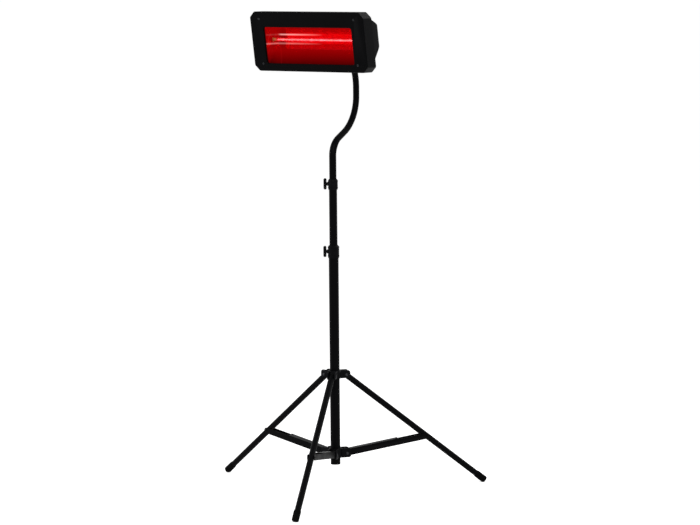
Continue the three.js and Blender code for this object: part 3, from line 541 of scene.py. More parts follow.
def rubyQuartz():
    # ruby-coated quartz: clear red glass that glows with the coil inside it, its film uneven
    look = {"glass": "#FF8C9E", "glow": "#FF1410", "strength": 0.12, "film": 14.0,
            "uneven": 0.15, "polish": 0.04, "clear": 0.85, "bend": 1.46}
    made, tree, shader, place = startMaterial("rubyQuartz", {
        "Base Color": linear(look["glass"]), "Roughness": look["polish"], "IOR": look["bend"],
        "Transmission Weight": look["clear"], "Emission Color": linear(look["glow"])})
    film = grain(tree, place, look["film"], 2)
    low, high = [look["strength"] * share for share in (1 - look["uneven"], 1 + look["uneven"])]
    feed(tree, shader, {"Emission Strength": between(tree, film, low, high)})
    return made


def hotTungsten():
    # the coil at full heat: orange white, cooler where the rings hold it
    look = {"cold": "#5A5048", "hot": "#FFD0C0", "cooler": "#FFA884", "strength": 5.0,
            "length": 30.0, "rough": 0.5}
    made, tree, shader, place = startMaterial("hotTungsten", {
        "Base Color": linear(look["cold"]), "Roughness": look["rough"],
        "Emission Strength": look["strength"]})
    heat = between(tree, grain(tree, place, look["length"], 1), 0.0, 1.0)
    feed(tree, shader, {"Emission Color": blendColours(tree, heat, look["cooler"], look["hot"])})
    return made


def steatite():
    # unglazed steatite: chalky and faintly speckled, its colour painted amber for the lamp's light
    # on it, and scorched to brown
    look = {"pale": "#C8743C", "scorched": "#8E3F20", "scorchShare": 0.7, "speck": 1.2,
            "speckDepth": 0.05, "cloud": 9.0, "rough": 0.7}
    made, tree, shader, place = startMaterial("unglazedSteatite", {"Roughness": look["rough"]})
    cloud = between(tree, grain(tree, place, look["cloud"], 4), 0.0, look["scorchShare"])
    feed(tree, shader, {
        # the painted amber of the lamp's light, scorched to brown in patches
        "Base Color": blendColours(tree, cloud, look["pale"], look["scorched"]),
        "Normal": relief(tree, grain(tree, place, look["speck"], 3), look["speckDepth"])})
    return made


enamel, nylon, rubber = stovedEnamel(), mouldedNylon(), bootRubber()
darkSteel, zinc, mirror = blackenedSteel(), zincPlate(), rubyGlowPaintedMirror()
quartz, tungsten, ceramic = rubyQuartz(), hotTungsten(), steatite()
print("materials mixed")


# telescoping mast
tubes = {"wall": 1.5, "thinWall": 1.2, "rim": 0.35}


def makeTube(name, node, wall):
    radius, foot, top = mmTube(node)
    tube = turnPiece(name, [[radius, foot], [radius, top], [radius - wall, top],
                            [radius - wall, foot], [radius, foot]])
    ease(tube, tubes["rim"])
    return settle(tube, onMast)


fit(makeTube("lowerTube", "lower_tube", tubes["wall"]), enamel, "stand_base", "black_enamel",
    "lower_tube")
fit(makeTube("middleTube", "middle_tube", tubes["thinWall"]), enamel, "middle_mast",
    "black_enamel", "middle_tube")

plug = {"bore": 6.0, "flange": 3.0, "chamfer": 0.8, "edge": 0.3}


def makePlug(size):
    radius, bottom, top = mmTube("tube_plug")
    bore, spigot = size["bore"], radius - tubes["wall"] - gap
    seat = bottom + size["flange"] - gap
    turned = turnPiece("tubePlug", [
        [bore, bottom], [radius - size["chamfer"], bottom], [radius, bottom + size["chamfer"]],
        [radius, seat], [spigot, seat], [spigot, top], [bore, top], [bore, bottom]])
    ease(turned, size["edge"])
    return settle(turned, onMast)


fit(makePlug(plug), nylon, "stand_base", "black_plastic", "tube_plug")

# the moulded clamps: a sleeve with a raised bead at each end, and a boss for the wing screw
clampSizes = {"lower": {"grip": 18.0, "rise": 28.0, "screwRise": 5.5, "wall": 3.2},
              "upper": {"grip": 14.0, "rise": 24.0, "screwRise": 7.0, "wall": 3.6}}
clampShape = {"taper": 6.0, "bead": 0.7, "beadWidth": 3.0, "bossRadius": 7.0, "bossLength": 3.5,
              "slit": 1.6, "slitFrom": 2.0, "studHole": 4.3, "edge": 0.5}


def makeClamp(name, size, outerTube, innerTube, tubeTop, screwTurn):
    shape = clampShape
    radius, seat, bore = outerTube + size["wall"], outerTube + gap, innerTube + gap
    bottom, top = tubeTop - size["grip"], tubeTop + size["rise"]
    screwHeight = tubeTop + size["screwRise"]
    waist = radius - shape["bead"]
    foot, shoulder = bottom + shape["taper"], top - shape["taper"]
    sleeve = turnPiece(name, [
        [seat, bottom], [outerTube + size["wall"] / 2, bottom], [waist, foot],
        [radius, foot], [radius, foot + shape["beadWidth"]], [waist, foot + shape["beadWidth"]],
        [waist, shoulder - shape["beadWidth"]], [radius, shoulder - shape["beadWidth"]],
        [radius, shoulder], [innerTube + size["wall"] / 2, top], [bore, top],
        [bore, tubeTop + gap], [seat, tubeTop + gap], [seat, bottom]])
    middle = (bore + radius) / 2
    carve(sleeve, addRod("boss", shape["bossRadius"], middle, radius + shape["bossLength"], "X",
                         (0, 0, screwHeight)), "UNION")
    carve(sleeve, addRod("studHole", shape["studHole"], 0, radius * 2, "X", (0, 0, screwHeight)))
    # the sleeve is slit from the top, opposite the screw, so that it can close on the tube
    carve(sleeve, addBlock(
        "slit", (-radius * 2, -shape["slit"] / 2, tubeTop + shape["slitFrom"]),
        (-innerTube, shape["slit"] / 2, top + past)))
    ease(sleeve, shape["edge"])
    return settle(sleeve, onMast @ screwTurn)


# wing screws: a barrel and stud with two rounded wings
wingScrew = {"barrelRadius": 6.0, "barrelLength": 6.0, "reach": 12.0, "spread": 20.0,
             "thickness": 4.5, "tipRound": 5.5, "rootRound": 4.5, "stud": 4.0, "capRadius": 4.6,
             "capRise": 1.5, "edge": 0.8}


def makeWing(size, start, side):
    # one wing: a block drawn out along the screw's axis to a rounded ear
    root, tip = start + past, start + size["reach"]
    half = size["thickness"] / 2
    wing = addBlock("wing", (root, -half, 0), (tip, half, size["spread"]))
    for x, width, segments in ((tip, size["tipRound"], 6), (root, size["rootRound"], 4)):
        roundEdges(wing, lambda a, b: abs(a.x - x) < 1 and abs(b.x - x) < 1
                   and abs(a.z - b.z) < 0.1 and min(a.z, b.z) > 1, width, segments)
    if side < 0:
        wing.data.transform(Matrix.Rotation(math.pi, 4, "X"))
    return wing


def makeWingScrew(name, outerTube, innerTube, clampWall, screwPlace):
    size = wingScrew
    start = outerTube + clampWall + clampShape["bossLength"] + gap
    end = start + size["barrelLength"]
    screw = addRod(name, size["barrelRadius"], start, end, "X")
    for side in (1, -1):
        carve(screw, makeWing(size, start, side), "UNION")
    carve(screw, addRod("cap", size["capRadius"], start + past, end + size["capRise"], "X"),
          "UNION")
    carve(screw, addRod("stud", size["stud"], innerTube + gap, start + past, "X", sides=24),
          "UNION")
    ease(screw, size["edge"], 3)
    return settle(screw, screwPlace)


for level, body, outerNode, innerNode in (
        ("lower", "stand_base", "lower_tube", "middle_tube"),
        ("upper", "middle_mast", "middle_tube", "neck_tube")):
    size, joint = clampSizes[level], f"{level}_wing_turn"
    outerTube, _, tubeTop = mmTube(outerNode)
    innerTube = mmTube(innerNode)[0]
    turn = facing(joints[joint]["axis"])
    fit(makeClamp(f"{level}Clamp", size, outerTube, innerTube, tubeTop, turn), nylon, body,
        "black_plastic", f"{level}_clamp")
    fit(makeWingScrew(f"{level}WingScrew", outerTube, innerTube, size["wall"],
                      onMastAt(joint, turn)), nylon, f"{level}_wing_screw", "black_plastic",
        f"{level}_wing_screw")
print("mast made")


# gooseneck
gooseneck = {
    "shown": 107.0,        # straight tube above the middle one
    "lowerBend": 70.0, "bendAngle": 62.0, "straight": 37.0,
    "upperBend": 145.0, "back": 29.0, "curl": 180.0,
    "knuckle": 34.0,       # the end of the tube to the tilt bolt
    "radius": 12.7, "swagedRadius": 11.3, "swageFrom": 28.0, "swageTo": 70.0,
    "wall": 1.2, "rim": 0.3, "arcStep": 2.5, "roundness": 22,
}


def neckPath(size, start, bendStart, bolt):
    # the centre line in the plane of the head: [along Y, up, lean], lean 0 goes straight up
    path = [Vector((0, start, 0)), Vector((0, (start + bendStart) / 2, 0)),
            Vector((0, bendStart, 0))]

    def straightOn(length):
        y, z, lean = path[-1]
        path.append(Vector((y + length * math.sin(lean), z + length * math.cos(lean), lean)))

    def bend(degrees, radius):
        count = max(2, math.ceil(abs(degrees) / size["arcStep"]))
        side = math.copysign(1, degrees)
        for _ in range(count):
            y, z, lean = path[-1]
            new = lean + math.radians(degrees) / count
            path.append(Vector((y + side * radius * (math.cos(lean) - math.cos(new)),
                                z + side * radius * (math.sin(new) - math.sin(lean)), new)))

    bend(size["bendAngle"], size["lowerBend"])
    straightOn(size["straight"])
    bend(-size["bendAngle"], size["upperBend"])
    straightOn(size["back"])
    # the curl is left where its tangent runs through the bolt
    y, z, _ = path[-1]
    away = Vector((bolt[0] - (y - size["curl"]), bolt[1] - z))
    tangent = math.sqrt(away.length_squared - size["curl"] ** 2)
    curl = math.atan2(away.y, away.x) - math.acos(size["curl"] / away.length)
    bend(-math.degrees(curl), size["curl"])
    straightOn(tangent - size["knuckle"])
    return path


def makeNeck(size):
    start = mmTube("neck_tube")[1]
    bendStart = mmTube("middle_tube")[2] + size["shown"]
    bolt = ((tiltBolt.y - mastPlace.y) * 1000, tiltBolt.z * 1000)
    path = neckPath(size, start, bendStart, bolt)
    line, _, points = startCurve("gooseneck", "POLY", len(path), bevel_depth=size["radius"],
                                 bevel_resolution=size["roundness"])
    thin = size["swagedRadius"] / size["radius"]
    for point, (y, z, lean) in zip(points, path):
        share = (z - bendStart - size["swageFrom"]) / (size["swageTo"] - size["swageFrom"])
        share = min(max(share, 0), 1)
        point.co = (0, y, z, 1)
        point.radius = 1 + (thin - 1) * share * share * (3 - 2 * share)
    neck = curveToMesh("gooseneck", line)
    modify(neck, "SOLIDIFY", thickness=size["wall"], offset=-1)
    faceOut(neck)
    ease(neck, size["rim"])
    return settle(neck, onMast), path[-1].z


neck, heading = makeNeck(gooseneck)
fit(neck, enamel, "neck", "black_enamel", "neck_tube")

# the knuckle: a spigot, a round block and the tongue that the bracket's ears take
knuckle = {"spigotRadius": 9.8, "spigotLength": 24.0, "blockRadius": 11.3, "blockTaper": 3.0,
           "blockDraw": 2.0, "tongueRadius": 13.0, "tongueWidth": 20.0, "clearance": 3.0,
           "root": 5.0, "hole": 4.3, "edge": 0.6}


def makeKnuckle(size):
    shoulder = -gooseneck["knuckle"] + gap
    blockTop = -size["tongueRadius"] - size["clearance"]
    body = turnPiece("neckKnuckle", [
        [size["spigotRadius"], shoulder - size["spigotLength"]], [size["spigotRadius"], shoulder],
        [size["blockRadius"], shoulder], [size["blockRadius"], blockTop - size["blockTaper"]],
        [size["blockRadius"] - size["blockDraw"], blockTop]])
    half, reach = size["tongueWidth"] / 2, size["tongueRadius"]
    tongue = addRod("tongue", reach, -half, half, "X", sides=64)
    root = addBlock("root", (-half, -reach, blockTop - size["root"]), (half, reach, 0))
    carve(tongue, root, "UNION")
    # the root is narrowed to run into the round block
    keep = addRod("keep", reach, blockTop - size["root"] - past, reach + past)
    carve(tongue, keep, "INTERSECT")
    carve(body, tongue, "UNION")
    carve(body, addRod("boltHole", size["hole"], -half - past, half + past, "X"))
    ease(body, size["edge"])
    return settle(body, Matrix.Translation(tiltBolt) @ Matrix.Rotation(-heading, 4, "X"))


fit(makeKnuckle(knuckle), enamel, "neck", "black_enamel", "neck_knuckle")
print("gooseneck made")


# tripod
hub = {"radius": 24.0, "bore": 17.8, "height": 28.0, "below": 11.5, "ear": 4.0, "earTip": 54.0,
       "earCorner": 9.0, "earInner": 11.3, "rivetHole": 3.3, "bossRadius": 8.0, "bossFrom": 2.0,
       "bossTip": 30.0, "studHole": 4.3, "knobTurn": 180.0, "edge": 0.9}
collar = {"height": 34.0, "below": 15.0, "earInner": 13.2}
pivotRadius = 40.0
legTurns = [0, 120, 240]


def makeEar(inner, low, high, side):
    size = hub
    near, far = sorted((side * inner, side * (inner + size["ear"])))
    ear = addBlock("ear", (size["bore"] + past, near, low), (size["earTip"], far, high))
    roundEdges(ear, lambda a, b: min(a.x, b.x) > size["earTip"] - 1 and abs(a.y - b.y) > 1,
               size["earCorner"], 8)
    return ear


def makeEaredRing(name, ring, boss):
    # a ring round the lower tube with a pair of ears for each leg, about the pivots' height
    size = hub
    low, high = -ring["below"], ring["height"] - ring["below"]
    body = addRod(name, size["radius"], low, high, sides=72)
    pair = [makeEar(ring["earInner"], low, high, side) for side in (-1, 1)]
    carve(body, spunRound("ears", pair, legTurns), "UNION")
    if boss:
        # for the lock knob, and the hole for its stud
        for tool, radius, start, end, how in (
                ("boss", size["bossRadius"], size["bore"] + size["bossFrom"], size["bossTip"],
                 "UNION"),
                ("studHole", size["studHole"], 0, size["bossTip"] + past, "DIFFERENCE")):
            rod = addRod(tool, radius, start, end, "X", (0, 0, (low + high) / 2))
            rod.data.transform(Matrix.Rotation(math.radians(size["knobTurn"]), 4, "Z"))
            carve(body, rod, how)
    carve(body, addRod("bore", size["bore"], low - past, high + past, sides=72))
    outer = ring["earInner"] + size["ear"] + past
    hole = addRod("hole", size["rivetHole"], -outer, outer, "Y", (pivotRadius, 0, 0), 32)
    carve(body, spunRound("holes", [hole], legTurns))
    ease(body, size["edge"], 3)
    return body


for name, node, ring, body, joint, place in (
        ("sliderHub", "slider_hub", hub, "hub", "leg_1_hinge", legPlaces[0]),
        ("lowerCollar", "lower_collar", collar, "stand_base", "strut_1_hinge", strutPlaces[0])):
    # +X faces the first leg
    fit(settle(makeEaredRing(name, ring, ring is hub),
               onMastAt(joint, place.to_3x3().to_4x4())), nylon, body, "black_plastic", node)

# lobed hand knobs: six scallops, a dished face and a metal stud
handKnob = {"lobes": 6, "scallop": 4.4, "lobeDepth": 2.2, "rim": 4.0, "dish": 1.4, "boss": 2.5,
            "edge": 1.2}


def makeKnob(name, radius, start, length, stud, studStart, threadEnd=None):
    # on the X axis, with a stud that reaches in to studStart, or a blind thread up to threadEnd
    size = handKnob
    end = start + length
    knob = addRod(name, radius, start, end, "X", sides=96)
    pick(knob, "FACE", lambda middle, normal: normal.x > 0.9)
    for width, sink in ((size["rim"], -size["dish"]),
                        (radius - size["rim"] - stud - size["boss"], size["dish"])):
        bpy.ops.mesh.inset(thickness=width)
        bpy.ops.mesh.extrude_region_move(TRANSFORM_OT_translate={"value": (sink, 0, 0)})
    letGo()
    reach = radius + size["lobeDepth"]
    turns = [2 * math.pi * i / size["lobes"] for i in range(size["lobes"])]
    scallops = [addRod("scallop", size["scallop"], start - past, end + past, "X",
                       (0, reach * math.cos(turn), reach * math.sin(turn)), 48)
                for turn in turns]
    carve(knob, gather("scallops", scallops))
    if studStart < start:
        carve(knob, addRod("stud", stud, studStart, start + past, "X", sides=32), "UNION")
    if threadEnd:
        carve(knob, addRod("thread", stud + gap, 0, threadEnd, "X", sides=32))
    ease(knob, size["edge"], 3)
    return knob


hubKnob = {"radius": 14.0, "start": 32.0, "length": 15.0, "stud": 4.0, "studStart": 17.8}
knobPlace = onMastAt("hub_knob_turn", facing(joints["hub_knob_turn"]["axis"]))
fit(settle(makeKnob("hubLockKnob", *hubKnob.values()), knobPlace), nylon, "hub_knob",
    "black_plastic", "hub_lock_knob")

# rivets: a domed head at each end of a shank
rivet = {"radius": 3.0, "headRadius": 5.5, "headHeight": 2.2, "steps": 5, "top": 0.4}


def rivetProfile(half, size):
    # half a rivet, from its middle out to the top of its domed head
    turns = [math.pi / 2 * i / size["steps"] for i in range(size["steps"])]
    dome = [[size["headRadius"] * math.cos(turn), half + size["headHeight"] * math.sin(turn)]
            for turn in turns]
    return [[size["radius"], 0], [size["radius"], half], *dome,
            [size["top"], half + size["headHeight"]]]


def makeRivet(name, half, size):
    upper = rivetProfile(half, size)[1:]
    lower = [[r, -z] for r, z in reversed(upper)]
    body = turnPiece(name, lower + upper, 32)
    body.data.transform(Matrix.Rotation(math.pi / 2, 4, "X"))
    shade(body)
    return body


legs = {"radius": 11.0, "wall": 1.5, "length": 660.0, "overrun": 9.0, "tilt": 51.6,
        "strutPivot": 384.5, "rim": 0.4}
boot = {"wall": 1.5, "length": 32.0, "rib": 0.5, "ribFrom": 3.0, "ribWidth": 3.0, "ribGap": 2.2,
        "ribSlope": 0.4, "ribs": 4, "sole": 10.0, "toe": 3.5, "toeSteps": 6}
channel = {"wall": 1.6, "half": 10.5, "webLength": 190.0, "webClearance": 1.0, "webStart": 2.0,
           "cheekPast": 10.0, "cheekRound": 3.1, "edge": 0.45}

# from the collar pivot to the rivet in the leg
legTilt = math.radians(legs["tilt"])
strutRun = legs["strutPivot"] * math.sin(legTilt)
strutRise = ((jointPlace("leg_1_hinge").z - jointPlace("strut_1_hinge").z) * 1000
             - legs["strutPivot"] * math.cos(legTilt))
strutLength = math.hypot(strutRun, strutRise)
strutLift = math.atan2(strutRise, strutRun)


def makeLeg(size):
    # built along +Z from the hub pivot; the rivets pass through it along Y
    radius, bore = size["radius"], size["radius"] - size["wall"]
    start, end = -size["overrun"], size["length"]
    tube = turnPiece("leg", [[radius, start], [radius, end], [bore, end], [bore, start],
                             [radius, start]], 56)
    for height in (0, size["strutPivot"]):
        carve(tube, addRod("hole", hub["rivetHole"], -radius - past, radius + past, "Y",
                           (0, 0, height), 32))
    ease(tube, size["rim"])
    return tube


def makeBoot(size):
    # a ribbed rubber boot with a blunt toe, trimmed level with the floor once it is in place
    sleeve = legs["radius"] + gap + size["wall"]
    valley = sleeve - size["rib"]
    start = legs["length"] - size["length"]
    end = legs["length"] + size["sole"]
    profile = [[valley, start]]
    for i in range(size["ribs"]):
        low = start + size["ribFrom"] + i * (size["ribWidth"] + size["ribGap"])
        high = low + size["ribWidth"]
        profile += [[valley, low], [sleeve, low + size["ribSlope"]], [sleeve, high],
                    [valley, high + size["ribSlope"]]]
    profile += [[sleeve, profile[-1][1] + size["ribGap"]], [sleeve, end - size["toe"]]]
    for i in range(1, size["toeSteps"]):
        turn = math.pi / 2 * i / size["toeSteps"]
        profile.append([sleeve - size["toe"] * (1 - math.cos(turn)),
                        end - size["toe"] * (1 - math.sin(turn))])
    profile.append([sleeve - size["toe"], end])
    cap = turnPiece("boot", profile)
    carve(cap, addRod("socket", legs["radius"] + gap, start - past, legs["length"] + gap,
                      sides=56))
    return cap


def makeStrut(size):
    # a channel along +X from its collar pivot, its web on top
    inner = legs["radius"] + gap
    outer = inner + size["wall"]
    webLow = legs["radius"] + size["webClearance"]
    webHigh = webLow + size["wall"]
    cheeks = []
    for near, far in ((-outer, -inner), (inner, outer)):
        cheek = addRod("cheek", size["half"], near, far, "Y", sides=48)
        pick(cheek, "VERT", lambda co: co.x > 0.1)
        bpy.ops.transform.translate(value=(strutLength, 0, 0))
        letGo()
        strip = addBlock("strip", (webHigh / 2, near, 0),
                         (size["webLength"] + size["cheekPast"], far, webHigh))
        roundEdges(strip, lambda a, b: min(a.z, b.z) > webHigh - 0.1 and abs(a.y - b.y) > 1
                   and a.x > size["webLength"], size["cheekRound"], 4)
        carve(cheek, strip, "UNION")
        cheeks.append(cheek)
    body = gather("strut", cheeks)
    web = addBlock("web", (webHigh / 2 + size["webStart"], -outer, webLow),
                   (size["webLength"], outer, webHigh))
    carve(body, web, "UNION")
    carve(body, addRod("hole", hub["rivetHole"], -outer - past, outer + past, "Y", sides=32))
    ease(body, size["edge"])
    return body


leg, bootCap, strut = makeLeg(legs), makeBoot(boot), makeStrut(channel)
cheekOuter = legs["radius"] + gap + channel["wall"]
hubRivet, collarRivet = [makeRivet(name, ring["earInner"] + hub["ear"] + gap, rivet)
                         for name, ring in (("hubRivet", hub), ("collarRivet", collar))]
strutRivetHead = turnPiece("strutRivetHead", rivetProfile(cheekOuter, rivet)[2:], 32)
strutRivetHead.data.transform(Matrix.Rotation(-math.pi / 2, 4, "X"))
shade(strutRivetHead)
for i in (1, 2, 3):
    legPlace, strutPlace = legPlaces[i - 1], strutPlaces[i - 1]
    downLeg = legPlace @ Matrix.Rotation(math.pi - legTilt, 4, "Y")
    alongStrut = strutPlace @ Matrix.Rotation(-strutLift, 4, "Y")
    fit(settle(copyOf(leg, f"leg{i}"), downLeg), enamel, f"leg_{i}", "black_enamel", f"leg_{i}")
    cap = settle(copyOf(bootCap, f"boot{i}"), downLeg)
    cutOff(cap, (0, 0, 0), (0, 0, 1), clear_inner=True)  # at the floor
    shade(cap, 28)
    fit(cap, rubber, f"leg_{i}", "foot_rubber", f"foot_cap_{i}")
    heads = [copyOf(strutRivetHead, "head", Matrix.Translation((strutLength, 0, 0))
                    @ Matrix.Rotation(turn, 4, "X")) for turn in (0, math.pi)]
    fit(settle(gather(f"strut{i}", [copyOf(strut, f"strut{i}"), *heads]), alongStrut), enamel,
        f"strut_{i}", "black_enamel", f"strut_{i}")
    for pattern, name, place, body in ((hubRivet, "hub", legPlace, "hub"),
                                       (collarRivet, "collar", strutPlace, "stand_base")):
        fit(settle(copyOf(pattern, f"{name}Rivet{i}"), place), darkSteel, body,
            "fastener_steel", f"{name}_rivet_{i}")
for pattern in (leg, bootCap, strut, hubRivet, collarRivet, strutRivetHead):
    bpy.data.objects.remove(pattern)
print("tripod made")


# lamp head: every piece is placed by inHead
bezel = {"width": 490.0, "height": 213.0, "depth": 51.0, "corner": 20.0, "sheet": 2.0,
         "sideBand": 55.2, "topBand": 56.0, "bottomBand": 27.0, "apertureCorner": 8.0,
         "lipDepth": 8.0, "lipWall": 1.5, "frontEdge": 2.6, "leastEdge": 0.6, "rimEdge": 1.3,
         "softCorner": 4.0, "edge": 0.3}
screwFromEnd, screwFromEdge = 40.0, 26.5
apertureMiddle = (bezel["bottomBand"] - bezel["topBand"]) / 2
apertureHalfWidth = bezel["width"] / 2 - bezel["sideBand"]
apertureHalfHeight = (bezel["height"] - bezel["topBand"] - bezel["bottomBand"]) / 2


def fitHead(obj, material, slot, node, body="head", place=inHead):
    fit(settle(obj, place), material, body, slot, node)


def alongDepth(a, b):
    # an edge that runs straight back from the face
    return abs(a.y - b.y) > 1 and abs(a.x - b.x) < 0.1 and abs(a.z - b.z) < 0.1


def corneredBlock(name, halfWidth, halfHeight, front, back, corner, segments=1, middle=0.0):
    # a block whose four long corners are cut or rounded
    block = addBlock(name, (-halfWidth, front, middle - halfHeight),
                     (halfWidth, back, middle + halfHeight))
    roundEdges(block, alongDepth, corner, segments)
    return block


def levelled(obj):
    # slides it down as it goes back, so that what was square to the raked face runs level
    slide = Matrix()
    slide[2][1] = -math.tan(headTilt)
    obj.data.transform(slide)
    return obj


def bezelBlock(name, inset, front, back):
    # its cut corners are folded, not sharp
    size = bezel
    block = corneredBlock(name, size["width"] / 2 - inset, size["height"] / 2 - inset, front, back,
                          size["corner"] - inset / 2)
    roundEdges(block, alongDepth, size["softCorner"], 4)
    roundEdges(block, lambda a, b: max(a.y, b.y) < front + 0.1,
               max(size["frontEdge"] - inset, size["leastEdge"]), 4)
    return levelled(block)


def apertureBlock(name, margin, front, back):
    return corneredBlock(name, apertureHalfWidth + margin, apertureHalfHeight + margin, front,
                         back, bezel["apertureCorner"] + margin, 8, apertureMiddle)


def onRim(co):
    # on the face, round the aperture
    return (co.y < 0.01 and abs(co.x) < apertureHalfWidth + 0.5
            and abs(co.z - apertureMiddle) < apertureHalfHeight + 0.5)


def screwPlaces():
    x = bezel["width"] / 2 - screwFromEnd
    z = bezel["height"] / 2 - screwFromEdge
    return [(-x, -z), (x, -z), (-x, z), (x, z)]


# pan-head screws, modelled once
panScrew = {"radius": 2.2, "headRadius": 4.2, "headHeight": 2.2, "length": 12.0,
            "pointShare": 0.6, "point": 1.5, "top": 0.3,
            # shares of the head's radius and height, from its rim up
            "dome": ((1, 0.35), (0.93, 0.62), (0.75, 0.84), (0.45, 0.97)),
            "recess": 1.3, "recessWidth": 0.9, "recessReach": 2.3, "hole": 2.5, "edge": 0.12}


def makePanScrew(size):
    # head up the Z axis
    radius, height = size["headRadius"], size["headHeight"]
    shank, tip = size["radius"], -size["length"]
    dome = [[radius * across, height * up] for across, up in size["dome"]]
    screw = turnPiece("panScrew", [
        [shank * size["pointShare"], tip], [shank, tip + size["point"]], [shank, 0],
        [radius, 0], *dome, [size["top"], height]], 40)
    reach, half = size["recessReach"], size["recessWidth"] / 2
    low, high = height - size["recess"], height + past
    cross = addBlock("cross", (-reach, -half, low), (reach, half, high))
    carve(cross, addBlock("arm", (-half, -reach, low), (half, reach, high)), "UNION")
    carve(screw, cross)
    ease(screw, size["edge"])
    return screw


def fitScrew(name, node, place, facingTurn, driverTurn):
    # each was left at its own turn by the driver
    turn = (Matrix.Rotation(math.radians(facingTurn), 4, "X")
            @ Matrix.Rotation(math.radians(driverTurn), 4, "Z"))
    fitHead(copyOf(screwPattern, name, Matrix.Translation(place) @ turn), darkSteel,
            "fastener_steel", node)


def screwHoleAt(x, z, front, back):
    return addRod("screwHole", panScrew["hole"], front, back, "Y", (x, 0, z), 24)


def makeBezel(size):
    sheet = size["sheet"]
    body = bezelBlock("frontBezel", 0, 0, size["depth"])
    carve(body, bezelBlock("inside", sheet, sheet, size["depth"] + past))
    carve(body, apertureBlock("lip", size["lipWall"], sheet / 2, size["lipDepth"]), "UNION")
    carve(body, apertureBlock("aperture", 0, -past, size["lipDepth"] + past))
    # the aperture's rim is rolled in
    roundEdges(body, lambda a, b: onRim(a) and onRim(b), size["rimEdge"], 4)
    for x, z in screwPlaces():
        carve(body, screwHoleAt(x, z, -past, sheet + past))
    ease(body, size["edge"], 2, 40)
    return body


fitHead(makeBezel(bezel), enamel, "black_enamel", "front_bezel")
screwPattern = makePanScrew(panScrew)
for i, (x, z) in enumerate(screwPlaces(), 1):
    fitScrew(f"bezelScrew{i}", f"bezel_screw_{i}", (x, -gap, z), 90, 37 * i)

# the housing behind the bezel: a folded shell, and its two moulded end caps
housing = {"endInset": 16.0, "wall": 1.5, "shoulderTopInset": 19.7, "shoulderBottomInset": 25.3,
           "kneeTop": 48.7, "kneeBottom": 39.3, "backTop": 39.7, "backBottom": 27.3,
           "knee": 94.0, "depth": 101.0, "fold": 4.0, "holeReach": 5.0,
           "glandInset": 79.0, "edge": 0.4}
endCap = {"overlap": 12.0, "wall": 2.0, "fold": 5.0, "edge": 0.9}
kneeGrowth, backGrowth = 0.7, 0.4  # of what the section grows by, at its knees and its back
shellHalfLength = bezel["width"] / 2 - housing["endInset"]
skirtDrop = bezel["depth"] * math.tan(headTilt)
shoulderTop = bezel["height"] / 2 - skirtDrop - housing["shoulderTopInset"]
shoulderBottom = -bezel["height"] / 2 - skirtDrop + housing["shoulderBottomInset"]
backMiddle = (housing["backTop"] - housing["backBottom"]) / 2
glandOffset = shellHalfLength - housing["glandInset"]


def shellBlock(name, start, end, grow, front, fold):
    # the shell's section, grown outwards, as a solid from start to end along X
    size = housing
    back = size["depth"] + grow
    slant = grow * kneeGrowth
    block = addBlock(name, (start, front, shoulderBottom - grow), (end, back, shoulderTop + grow))
    for side, shoulder, knee, edge in (
            (1, shoulderTop, size["kneeTop"], size["backTop"]),
            (-1, -shoulderBottom, size["kneeBottom"], size["backBottom"])):
        corners = [(bezel["depth"], shoulder + grow), (size["knee"] + slant, knee + slant),
                   (back, edge + grow * backGrowth)]
        for (y0, z0), (y1, z1) in zip(corners, corners[1:]):
            cutOff(block, (0, y0, side * z0), (0, z0 - z1, side * (y1 - y0)), clear_outer=True)
    if fold:
        roundEdges(block, lambda a, b: min(a.y, b.y) > bezel["depth"] + 1
                   and (abs(a.y - b.y) < 0.1 or abs(a.x - b.x) > 1), fold, 5)
    return block


def makeHousing(size):
    wall, depth = size["wall"], bezel["depth"]
    insideHalf = shellHalfLength - wall
    body = shellBlock("housingShell", -shellHalfLength, shellHalfLength, 0, depth - wall,
                      size["fold"])
    carve(body, shellBlock("hollow", -insideHalf, insideHalf, -wall, 0, size["fold"] / 2))
    fitting = bezel["sheet"] + gap
    plate = levelled(corneredBlock(
        "plate", bezel["width"] / 2 - fitting, bezel["height"] / 2 - fitting, depth - wall, depth,
        bezel["corner"] - fitting / 2))
    carve(plate, addBlock("opening", (-insideHalf, 0, shoulderBottom + wall),
                          (insideHalf, depth * 2, shoulderTop - wall)))
    carve(body, plate, "UNION")
    near, far = size["depth"] - size["holeReach"], size["depth"] + size["holeReach"]
    carve(body, addRod("glandHole", gland["thread"] + gap, near, far, "Y",
                       (glandOffset, 0, backMiddle)))
    for side in (-1, 1):
        carve(body, screwHoleAt(side * bracket["screwOffset"], backMiddle, near, far))
    ease(body, size["edge"], 2, 40)
    return body


def makeEndCap(name, side):
    inner, outer = shellHalfLength - endCap["overlap"], shellHalfLength + gap + endCap["wall"]
    span = sorted((side * inner, side * outer))
    cap = shellBlock(name, *span, gap + endCap["wall"], bezel["depth"] + gap, endCap["fold"])
    span = sorted((side * (inner - past), side * (shellHalfLength + gap)))
    carve(cap, shellBlock("socket", *span, gap, 0, housing["fold"]))
    ease(cap, endCap["edge"], 3, 40)
    return cap


gland = {"thread": 8.0, "nut": 11.0, "nutLength": 6.4, "dome": 9.3, "domeRound": 3.4,
         "domeTaper": 0.5, "lip": 1.6, "length": 12.0, "mouth": 7.6, "bore": 4.0, "inside": 6.0,
         "edge": 0.5}
bracket = {"screwOffset": 25.0, "width": 68.0, "height": 54.0, "thickness": 3.0, "corner": 7.0,
           "earRadius": 13.0, "earInside": 10.3, "earInset": 4.0, "edge": 0.7, "boltHole": 4.3,
           "holeReach": 20.0}
hands = (("Left", "left", -1), ("Right", "right", 1))

fitHead(makeHousing(housing), enamel, "black_enamel", "housing_shell")
for word, hand, side in hands:
    fitHead(makeEndCap(f"endCap{word}", side), nylon, "black_plastic", f"end_cap_{hand}")


